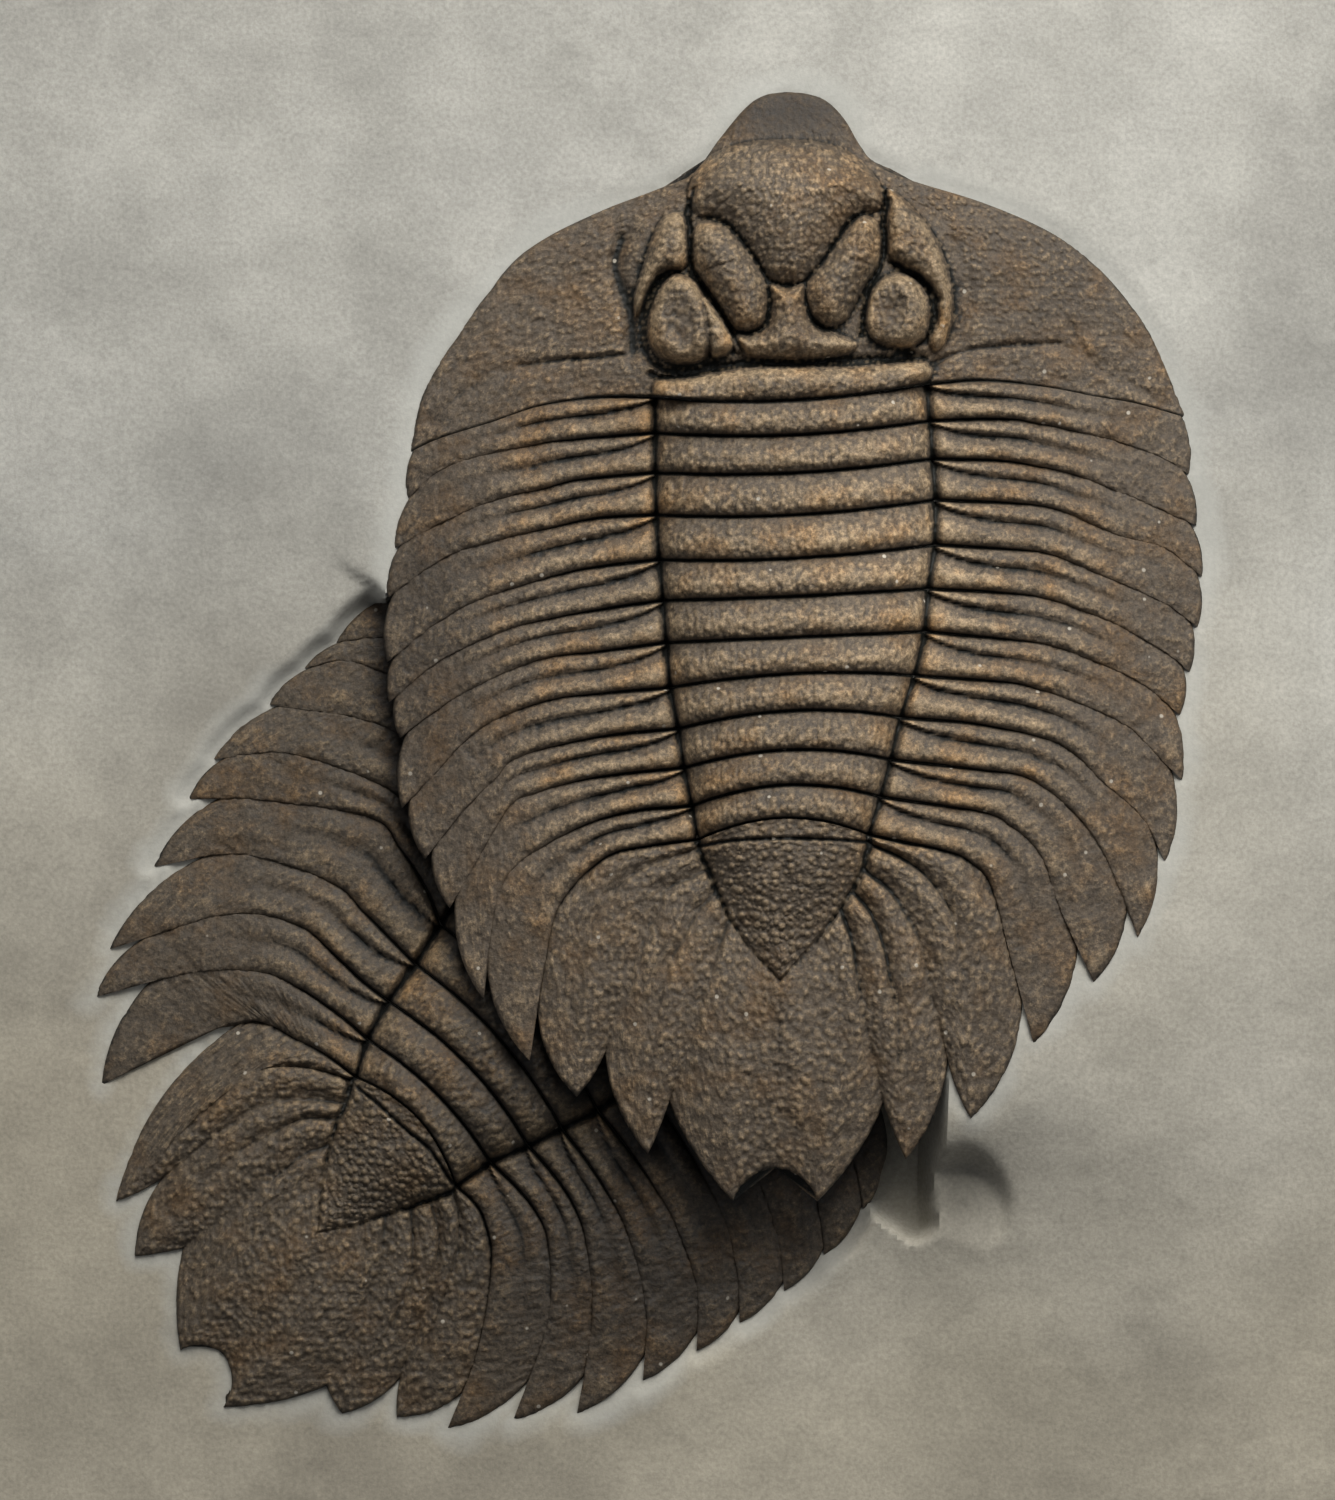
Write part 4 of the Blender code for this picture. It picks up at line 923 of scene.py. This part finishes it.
# %% Rays up to the plates
SEAM_REACH = 0.75 * MM
EMBED = 0.7 * MM


def plate_trees():
    bpy.context.view_layer.update()
    depsgraph = bpy.context.evaluated_depsgraph_get()
    trees = []
    for piece in plates:
        corners = points_of(piece.data)
        trees.append((BVHTree.FromObject(piece, depsgraph), corners.min(axis=0) - SEAM_REACH,
                      corners.max(axis=0) + SEAM_REACH, piece.name.startswith("upper")))
    return trees


def lowest_plate(plan, trees):
    up = Vector((0.0, 0.0, 1.0))
    reach = ((0, 0), (SEAM_REACH, 0), (-SEAM_REACH, 0), (0, SEAM_REACH), (0, -SEAM_REACH))
    heights = np.full((len(reach), len(plan)), np.inf)
    for tree, low, high, _ in trees:
        inside = np.flatnonzero((plan > low[:2]).all(axis=1) & (plan < high[:2]).all(axis=1))
        for index in inside:
            x, y = plan[index]
            for row, (dx, dy) in enumerate(reach):
                hit = tree.ray_cast(Vector((x + dx, y + dy, 0.0)), up)[0]
                if hit is not None and hit.z < heights[row, index]:
                    heights[row, index] = hit.z
    centre, right, left, back, front = heights
    bridged = np.minimum(np.where(np.isfinite(right) & np.isfinite(left), np.minimum(right, left), np.inf),
                         np.where(np.isfinite(back) & np.isfinite(front), np.minimum(back, front), np.inf))
    return np.minimum(centre, bridged)


# %% The slab's mesh
SLAB_WIDTH = 0.215
SLAB_LENGTH = 0.240
EDGE_PLAY = 2.2 * MM


def broken_edge(share, phase):
    return (0.45 * np.sin(3.1 * share + phase) + 0.3 * np.sin(7.3 * share + 2.0 * phase)
            + 0.25 * np.sin(13.7 * share + 3.0 * phase))


def slab_plan(x, y):
    u = 2.0 * x
    v = 2.0 * y
    side = u * (SLAB_WIDTH / 2 - EDGE_PLAY * (1.0 + broken_edge(v, np.where(u < 0, 0.7, 2.9))))
    end = v * (SLAB_LENGTH / 2 - EDGE_PLAY * (1.0 + broken_edge(u, np.where(v < 0, 1.6, 4.2))))
    return np.column_stack((side, end))


def slab_mesh(trees):
    bm = bmesh.new()
    bmesh.ops.create_grid(bm, x_segments=29, y_segments=32, size=0.5)
    base = bm.faces[:]
    raised = bmesh.ops.extrude_face_region(bm, geom=base, use_keep_orig=True)["geom"]
    upper_points = [item for item in raised if isinstance(item, bmesh.types.BMVert)]
    bmesh.ops.translate(bm, verts=upper_points, vec=(0.0, 0.0, 1.0))
    bmesh.ops.recalc_face_normals(bm, faces=bm.faces[:])
    bottom = [face for face in bm.faces if all(vert.co.z < 0.5 for vert in face.verts)]
    bmesh.ops.dissolve_faces(bm, faces=bottom)
    upper_edges = [edge for edge in bm.edges if all(vert.co.z > 0.5 for vert in edge.verts)]
    bmesh.ops.subdivide_edges(bm, edges=upper_edges, cuts=9, use_grid_fill=True)
    piece = to_object(bm, "shale_slab")
    mesh = piece.data
    spots = points_of(mesh)
    plan = slab_plan(spots[:, 0], spots[:, 1])
    middle = (plan.min(axis=0) + plan.max(axis=0)) / 2.0
    plan = (plan - middle) * np.array((SLAB_WIDTH, SLAB_LENGTH)) / np.ptp(plan, axis=0)
    level, distance = drawn_to_margins(plan, rock_level(plan))
    level = np.minimum(level, SLAB_THICKNESS + trough(plan, LEDGE_FOOT, 2.4, 1.5))
    level = np.minimum(level, SLAB_THICKNESS + trough(plan, HOLLOW_ENDS, -4.0, 3.0))
    level = level + 0.16 * MM * wander(plan, 9.0 * MM, 8) + 0.07 * MM * wander(plan, 2.4 * MM, 9)
    level = np.minimum(level, lowest_plate(plan, trees) + EMBED)
    mesh.vertices.foreach_set("co", np.column_stack((plan, spots[:, 2] * level)).ravel())
    write_attribute(mesh, "margin_distance", distance / MM)
    # The slab's colour includes painted shade below the ledge and, in part, painted falloff of the light.
    write_attribute(mesh, "tone_and_painted_shade", tones(plan, SLAB_TONES_AND_SHADE))
    mesh.shade_smooth()
    mesh.set_sharp_from_angle(angle=math.radians(50.0))
    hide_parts("matrix_slab")
    print("slab", len(mesh.polygons), "faces")
    return piece


# %% [markdown]
# ## Light and dark places
#
# Some of the colour is set place by place. Soft ovals lighten and darken the upper animal and
# the rock in wide patches; those at the bottom edge of the slab are partly painted falloff of the
# light, and those by the raised tail, on the rock and on the lower animal, are wholly or partly
# painted shade. Rays add painted shade to the lower animal beneath and beside the upper one. Each
# oval has a place, a size and a strength, so it can be moved by hand. The tone is written into an
# attribute, because then any shader can read it.

# %% Tones
# Each tone: centre x and y, half width and half height in pixels, and the factor at its middle.
# The dark ovals at (960, 1195) and (1050, 1130), on the slope below the ledge by the raised tail, are
# painted shade; the ovals that darken the bottom edge and lighten the top are partly painted falloff of the
# light.
SLAB_TONES_AND_SHADE = (
    (1180, 1385, 90, 60, 0.78), (1290, 1290, 70, 60, 0.88), (60, 300, 90, 60, 0.86),
    (300, 480, 120, 150, 0.93), (120, 1400, 200, 160, 0.82), (1050, 1130, 60, 50, 0.9),
    (1330, 330, 70, 120, 0.9), (520, 130, 130, 60, 0.9), (960, 1195, 45, 40, 0.6),
    (900, 1380, 260, 120, 0.92), (60, 780, 80, 70, 1.08), (1100, 130, 200, 120, 1.06),
    (1260, 620, 60, 160, 1.05), (820, 55, 160, 40, 1.05), (370, 60, 80, 50, 0.92),
)
UPPER_TONES = (
    (425, 640, 60, 190, 0.62), (790, 110, 85, 30, 0.42), (1150, 500, 70, 130, 1.05),
    (870, 570, 80, 180, 1.42), (750, 560, 70, 160, 1.08), (1000, 560, 90, 160, 1.2),
    (560, 560, 70, 130, 1.15), (560, 300, 60, 40, 1.1), (785, 205, 70, 50, 1.22),
    (700, 950, 60, 60, 1.12), (900, 960, 60, 90, 1.12), (1060, 280, 90, 60, 0.9),
)
# The oval at (520, 1080), beside the upper animal's tail, is painted shade; the one at (640, 1260), over the
# lower animal's right side, is partly darker shell and partly painted shade.
LOWER_TONES_AND_SHADE = (
    (640, 1260, 190, 120, 0.42), (520, 1080, 90, 90, 0.5), (330, 800, 90, 120, 0.85),
    (300, 1230, 90, 90, 1.15),
)


def tones(plan, table):
    tone_and_painted_shade = np.ones(len(plan))
    for x, y, half_width, half_height, factor in table:
        away = (plan - metres((x, y))) / (np.array((half_width, half_height)) * POINT_PITCH)
        tone_and_painted_shade *= 1.0 + (factor - 1.0) * np.exp(-(away ** 2).sum(axis=1))
    return tone_and_painted_shade


# %% Shade under the upper animal
OVERHANG_SHADE = 3.5 * MM
DEEPEST_SHADE = 0.12


# Painted shade: darkens the lower animal's colour beneath the upper animal and within a few millimetres of
# its edge.
def shaded_by_overhang(piece, trees, edge_tree):
    spots = points_of(piece.data)
    up = Vector((0.0, 0.0, 1.0))
    over = [entry for entry in trees if entry[3]]
    low = np.min([entry[1][:2] for entry in over], axis=0)
    high = np.max([entry[2][:2] for entry in over], axis=0)
    shade = np.ones(len(spots))
    past_low = (spots[:, :2] > low - OVERHANG_SHADE).all(axis=1)
    near = past_low & (spots[:, :2] < high + OVERHANG_SHADE).all(axis=1)
    for index in np.flatnonzero(near):
        x, y, z = spots[index]
        covered = any(tree.ray_cast(Vector((x, y, z + 0.1 * MM)), up)[0] is not None
                      for tree, box_low, box_high, _ in over
                      if box_low[0] < x < box_high[0] and box_low[1] < y < box_high[1])
        away = 0.0 if covered else edge_tree.find((x, y, 0.0))[2]
        shade[index] = DEEPEST_SHADE + (1.0 - DEEPEST_SHADE) * smoothstep(away / OVERHANG_SHADE)
    return shade


def overhang_edge():
    shares = np.linspace(0.0, 1.0, 7)
    found = [thorax_plan(upper, index, np.full(7, -2.0), shares)[0] for index in range(11)]
    turns = np.linspace(0.0, 6.0, 60)
    found += [tail_plan(upper, np.full(60, 2.0 * sign), turns) for sign in (-1, 1)]
    edge = np.vstack(found)
    tree = KDTree(len(edge))
    for index, point in enumerate(edge):
        tree.insert((point[0], point[1], 0.0), index)
    tree.balance()
    return tree


trees = plate_trees()
edge_tree = overhang_edge()
for piece in plates:
    is_upper = piece.name.startswith("upper")
    tone_and_painted_shade = tones(points_of(piece.data)[:, :2], UPPER_TONES if is_upper else LOWER_TONES_AND_SHADE)
    # The lower plates get painted shade beneath and beside the upper animal.
    if not is_upper:
        tone_and_painted_shade *= shaded_by_overhang(piece, trees, edge_tree)
    write_attribute(piece.data, "tone_and_painted_shade", tone_and_painted_shade)
slab = slab_mesh(trees)

# %% [markdown]
# ## Finish of the shell
#
# The shell is dark brown-grey calcite. Its seams, furrows and eye hollows are painted darker,
# partly for dirt and partly as painted shade, and its crests and pimples are painted a lighter
# tan, partly their own colour and partly painted highlight. The `relief` attribute, which is each
# point's height over its surroundings, tells crests from furrows, so the colour follows the form
# from every side. A photograph could be projected instead, but it would slide over any part it doesn't show.

# %% Helpers for node trees
def new_material(name):
    made = bpy.data.materials.new(name)
    made.use_nodes = True
    made.node_tree.nodes.clear()
    return made, made.node_tree.nodes, made.node_tree.links


def put(links, socket, value):
    if isinstance(value, bpy.types.NodeSocket):
        links.new(value, socket)
    elif isinstance(value, tuple) and len(value) == 3 and socket.type == "RGBA":
        socket.default_value = (*value, 1.0)
    else:
        socket.default_value = value


def colour_ramp(nodes, links, factor, stops):
    node = nodes.new("ShaderNodeValToRGB")
    while len(node.color_ramp.elements) < len(stops):
        node.color_ramp.elements.new(0.5)
    for element, (position, colour) in zip(node.color_ramp.elements, stops):
        element.position = position
        element.color = (*colour, 1.0)
    links.new(factor, node.inputs["Fac"])
    return node.outputs["Color"]


def noise(nodes, links, vector, scale, detail, roughness=0.6):
    node = nodes.new("ShaderNodeTexNoise")
    node.inputs["Scale"].default_value = scale
    node.inputs["Detail"].default_value = detail
    node.inputs["Roughness"].default_value = roughness
    links.new(vector, node.inputs["Vector"])
    return node.outputs["Fac"]


def cells(nodes, links, vector, scale):
    node = nodes.new("ShaderNodeTexVoronoi")
    node.inputs["Scale"].default_value = scale
    links.new(vector, node.inputs["Vector"])
    return node.outputs["Distance"]


def mix_colour(nodes, links, mode, factor, a, b):
    node = nodes.new("ShaderNodeMix")
    node.data_type = "RGBA"
    node.blend_type = mode
    sockets = {"Factor": node.inputs[0], "A": node.inputs[6], "B": node.inputs[7]}
    put(links, sockets["Factor"], factor)
    put(links, sockets["A"], a)
    put(links, sockets["B"], b)
    return node.outputs[2]


def arithmetic(nodes, links, operation, *values):
    node = nodes.new("ShaderNodeMath")
    node.operation = operation
    for socket, value in zip(node.inputs, values):
        put(links, socket, value)
    return node.outputs["Value"]


def remap(nodes, links, value, low, high, to_low=0.0, to_high=1.0):
    node = nodes.new("ShaderNodeMapRange")
    node.clamp = True
    for name, setting in (("From Min", low), ("From Max", high), ("To Min", to_low), ("To Max", to_high)):
        node.inputs[name].default_value = setting
    put(links, node.inputs["Value"], value)
    return node.outputs["Result"]


def attribute(nodes, name):
    node = nodes.new("ShaderNodeAttribute")
    node.attribute_name = name
    return node.outputs["Fac"]


def grey(value):
    return (value, value, value)


def scaled(nodes, links, vector, factor):
    node = nodes.new("ShaderNodeVectorMath")
    node.operation = "SCALE"
    put(links, node.inputs[0], vector)
    links.new(factor, node.inputs["Scale"])
    return node.outputs[0]


def bump_from(nodes, links, height, strength, distance, normal=None):
    node = nodes.new("ShaderNodeBump")
    node.inputs["Strength"].default_value = strength
    node.inputs["Distance"].default_value = distance
    put(links, node.inputs["Height"], height)
    if normal is not None:
        put(links, node.inputs["Normal"], normal)
    return node.outputs["Normal"]


# %% Shell materials
def shell_material(name, deep, mid, light, rust):
    made, nodes, links = new_material(name)
    place = nodes.new("ShaderNodeTexCoord").outputs["Object"]
    patches = noise(nodes, links, place, 95.0, 4.0)
    grit = noise(nodes, links, place, 1300.0, 4.0, 0.75)
    dust = noise(nodes, links, place, 3600.0, 2.0, 0.7)
    granules = cells(nodes, links, place, 1300.0)
    relief = arithmetic(nodes, links, "ADD", attribute(nodes, "relief"),
                        remap(nodes, links, patches, 0.3, 0.7, -0.14, 0.14))
    relief = arithmetic(nodes, links, "ADD", relief, remap(nodes, links, grit, 0.3, 0.7, -0.14, 0.14))
    # The ramp paints hollows darker and crests a lighter tan, partly as painted shade and painted highlight.
    colour = colour_ramp(nodes, links, remap(nodes, links, relief, -0.6, 0.6),
                         ((0.0, deep), (0.34, mid), (0.58, mid), (1.0, light)))
    stained = remap(nodes, links, noise(nodes, links, place, 140.0, 4.0), 0.48, 0.68, 0.0, 0.8)
    colour = mix_colour(nodes, links, "MIX", stained, colour,
                        mix_colour(nodes, links, "MULTIPLY", 1.0, colour, rust))
    # Pimples are painted a lighter tan, partly as painted highlight on their tops.
    pimple_tan_and_highlight = remap(nodes, links, attribute(nodes, "grain"), 0.04, 0.34, 0.0, 0.6)
    colour = mix_colour(nodes, links, "MIX", pimple_tan_and_highlight, colour, light)
    colour = mix_colour(nodes, links, "MULTIPLY", 1.0, colour,
                        colour_ramp(nodes, links, grit, ((0.3, grey(0.42)), (0.5, grey(0.95)),
                                                         (0.7, grey(1.6)))))
    colour = mix_colour(nodes, links, "MULTIPLY", 1.0, colour,
                        colour_ramp(nodes, links, dust, ((0.3, grey(0.75)), (0.7, grey(1.3)))))
    # Seams, furrows and eye hollows are painted towards the deep colour: partly dirt, partly painted shade.
    dirt_and_painted_shade = remap(nodes, links, arithmetic(nodes, links, "ADD", attribute(nodes, "dirt_and_painted_shade"),
                                          remap(nodes, links, grit, 0.3, 0.7, -0.25, 0.25)),
                 0.3, 0.85)
    colour = mix_colour(nodes, links, "MIX", dirt_and_painted_shade, colour, deep)
    specks = remap(nodes, links, cells(nodes, links, place, 210.0), 0.045, 0.07, 0.8, 0.0)
    colour = mix_colour(nodes, links, "MIX", specks, colour, (0.42, 0.38, 0.31))
    shader = nodes.new("ShaderNodeBsdfPrincipled")
    links.new(scaled(nodes, links, colour, attribute(nodes, "tone_and_painted_shade")), shader.inputs["Base Color"])
    put(links, shader.inputs["Roughness"], remap(nodes, links, grit, 0.3, 0.7, 0.5, 0.78))
    shader.inputs["Specular IOR Level"].default_value = 0.35
    normal = bump_from(nodes, links, granules, 0.5, 0.14 * MM)
    normal = bump_from(nodes, links, grit, 0.75, 0.2 * MM, normal)
    normal = bump_from(nodes, links, dust, 0.5, 0.07 * MM, normal)
    links.new(normal, shader.inputs["Normal"])
    output = nodes.new("ShaderNodeOutputMaterial")
    links.new(shader.outputs["BSDF"], output.inputs["Surface"])
    return made


upper_finish = shell_material("upper_shell_finish", (0.0055, 0.0060, 0.0045), (0.082, 0.063, 0.044),
                              (0.235, 0.172, 0.103), (1.25, 0.98, 0.66))
lower_finish = shell_material("lower_shell_finish", (0.0045, 0.0048, 0.0035), (0.066, 0.051, 0.035),
                              (0.180, 0.132, 0.078), (1.25, 0.96, 0.62))
for piece in plates:
    piece.data.materials.append(upper_finish if piece.name.startswith("upper") else lower_finish)

# %% [markdown]
# ## Finish of the rock
#
# The shale is pale grey with a warm tinge, clouded darker in wide soft patches and fine grained
# close up. Next to the fossils it was scraped and left paler, in a halo that follows their
# margins. Two noises of very different size give clouds and grain. The hairline cracks are
# narrower than any point of the mesh, so the shader measures the distance to a few straight
# pieces and darkens what lies within a fraction of a millimetre.

# %% Rock material
CRACKS = (
    ((1160, 117), (1128, 142)), ((1128, 142), (1118, 150)), ((1118, 150), (1085, 166)),
    ((1085, 166), (1060, 192)), ((1163, 160), (1140, 178)), ((1140, 178), (1110, 198)),
    ((0, 278), (34, 262)), ((34, 262), (82, 243)), ((8, 292), (34, 308)), ((34, 308), (62, 340)),
    ((62, 340), (70, 352)), ((280, 528), (283, 560)), ((293, 532), (296, 552)),
)
CRACK_WIDTH = 0.14 * MM


def crack_distance(nodes, links, place):
    nearest = None
    for start, end in CRACKS:
        a = metres(start)
        run = metres(end) - a
        away = nodes.new("ShaderNodeVectorMath")
        away.operation = "SUBTRACT"
        links.new(place, away.inputs[0])
        away.inputs[1].default_value = (a[0], a[1], 0.0)
        dot = nodes.new("ShaderNodeVectorMath")
        dot.operation = "DOT_PRODUCT"
        links.new(away.outputs[0], dot.inputs[0])
        dot.inputs[1].default_value = tuple(run / (run @ run)) + (0.0,)
        share = nodes.new("ShaderNodeClamp")
        links.new(dot.outputs["Value"], share.inputs["Value"])
        foot = scaled(nodes, links, (run[0], run[1], 0.0), share.outputs[0])
        gap = nodes.new("ShaderNodeVectorMath")
        gap.operation = "DISTANCE"
        links.new(away.outputs[0], gap.inputs[0])
        links.new(foot, gap.inputs[1])
        distance = gap.outputs["Value"]
        nearest = distance if nearest is None else arithmetic(nodes, links, "MINIMUM", nearest, distance)
    return nearest


def rock_material():
    made, nodes, links = new_material("shale_finish")
    place = nodes.new("ShaderNodeTexCoord").outputs["Object"]
    clouds = noise(nodes, links, place, 17.0, 5.0, 0.6)
    smears = noise(nodes, links, place, 60.0, 4.0, 0.6)
    warmth = noise(nodes, links, place, 9.0, 2.0)
    grain = noise(nodes, links, place, 1700.0, 4.0, 0.65)
    colour = colour_ramp(nodes, links, clouds, ((0.3, (0.270, 0.262, 0.235)), (0.5, (0.375, 0.366, 0.328)),
                                                (0.72, (0.440, 0.430, 0.390))))
    colour = mix_colour(nodes, links, "MULTIPLY", 1.0, colour,
                        colour_ramp(nodes, links, smears, ((0.3, grey(0.86)), (0.7, grey(1.1)))))
    # Browner and slightly darker towards the bottom of the slab: partly the rock's own colour, partly
    # painted falloff of the light.
    separate = nodes.new("ShaderNodeSeparateXYZ")
    links.new(place, separate.inputs[0])
    southward_brown_and_falloff = remap(nodes, links, arithmetic(nodes, links, "ADD", separate.outputs["Y"],
                                               remap(nodes, links, warmth, 0.3, 0.7, -0.03, 0.03)),
                      0.03, -0.07)
    colour = mix_colour(nodes, links, "MULTIPLY", 1.0, colour,
                        mix_colour(nodes, links, "MIX", southward_brown_and_falloff, (1.0, 1.0, 1.0), (0.98, 0.915, 0.80)))
    colour = mix_colour(nodes, links, "MULTIPLY", 1.0, colour,
                        colour_ramp(nodes, links, grain, ((0.3, grey(0.84)), (0.7, grey(1.16)))))
    ragged = arithmetic(nodes, links, "ADD", attribute(nodes, "margin_distance"),
                        remap(nodes, links, smears, 0.3, 0.7, -1.6, 1.6))
    halo = remap(nodes, links, ragged, 0.6, 3.2, 0.55, 0.0)
    colour = mix_colour(nodes, links, "MIX", halo, colour, (0.47, 0.47, 0.43))
    crack = remap(nodes, links, crack_distance(nodes, links, place), 0.5 * CRACK_WIDTH, 1.5 * CRACK_WIDTH,
                  0.8, 0.0)
    colour = mix_colour(nodes, links, "MIX", crack, colour, (0.10, 0.085, 0.07))
    shader = nodes.new("ShaderNodeBsdfPrincipled")
    links.new(scaled(nodes, links, colour, attribute(nodes, "tone_and_painted_shade")), shader.inputs["Base Color"])
    shader.inputs["Roughness"].default_value = 0.9
    shader.inputs["Specular IOR Level"].default_value = 0.25
    normal = bump_from(nodes, links, smears, 0.5, 0.5 * MM)
    normal = bump_from(nodes, links, grain, 0.35, 0.16 * MM, normal)
    links.new(normal, shader.inputs["Normal"])
    output = nodes.new("ShaderNodeOutputMaterial")
    links.new(shader.outputs["BSDF"], output.inputs["Surface"])
    return made


slab.data.materials.append(rock_material())

# %% [markdown]
# ## Floor, light and camera
#
# The slab lies on a plain pale floor under one large soft light from the head end, low enough
# to rake across the plates, with a weak fill from the other sides. The camera looks straight
# down through a long lens, as for a museum plate.

# %% Studio
def studio_floor():
    bm = bmesh.new()
    bmesh.ops.create_grid(bm, x_segments=2, y_segments=2, size=1.5)
    mesh = bpy.data.meshes.new("studio_floor")
    bm.to_mesh(mesh)
    bm.free()
    floor = bpy.data.objects.new("studio_floor", mesh)
    scene.collection.objects.link(floor)
    made, nodes, links = new_material("pale_floor")
    shader = nodes.new("ShaderNodeBsdfPrincipled")
    shader.inputs["Base Color"].default_value = (0.75, 0.74, 0.72, 1.0)
    shader.inputs["Roughness"].default_value = 0.8
    output = nodes.new("ShaderNodeOutputMaterial")
    links.new(shader.outputs["BSDF"], output.inputs["Surface"])
    mesh.materials.append(made)


def area_light(name, azimuth, elevation, distance, size, power, colour):
    data = bpy.data.lights.new(name, "AREA")
    data.shape = "SQUARE"
    data.size = size
    data.energy = power
    data.color = colour
    lamp = bpy.data.objects.new(name, data)
    scene.collection.objects.link(lamp)
    a, e = math.radians(azimuth), math.radians(elevation)
    place = Vector((math.sin(a) * math.cos(e), math.cos(a) * math.cos(e), math.sin(e))) * distance
    lamp.location = place
    lamp.rotation_euler = (-place).to_track_quat("-Z", "Y").to_euler()


def studio_camera():
    data = bpy.data.cameras.new("plate_camera")
    data.sensor_fit = "AUTO"
    data.sensor_width = 36.0
    data.lens = 300.0
    data.clip_end = 20.0
    camera = bpy.data.objects.new("plate_camera", data)
    scene.collection.objects.link(camera)
    shown = 1500 * POINT_PITCH
    subject = SLAB_THICKNESS + 5.0 * MM
    camera.location = (0.0, 0.0, subject + shown * data.lens / data.sensor_width)
    scene.camera = camera


studio_floor()
studio_camera()
area_light("key", 12.0, 42.0, 0.68, 0.40, 5.9, (1.0, 0.985, 0.96))
area_light("fill_right", 75.0, 35.0, 1.0, 0.6, 2.2, (0.98, 0.985, 1.0))
area_light("fill_left", -75.0, 35.0, 1.0, 0.6, 1.1, (0.98, 0.985, 1.0))
world = bpy.data.worlds.new("soft_room")
world.use_nodes = True
world.node_tree.nodes["Background"].inputs["Color"].default_value = (0.9, 0.93, 1.0, 1.0)
world.node_tree.nodes["Background"].inputs["Strength"].default_value = 0.11
scene.world = world
scene.view_settings.view_transform = "Standard"
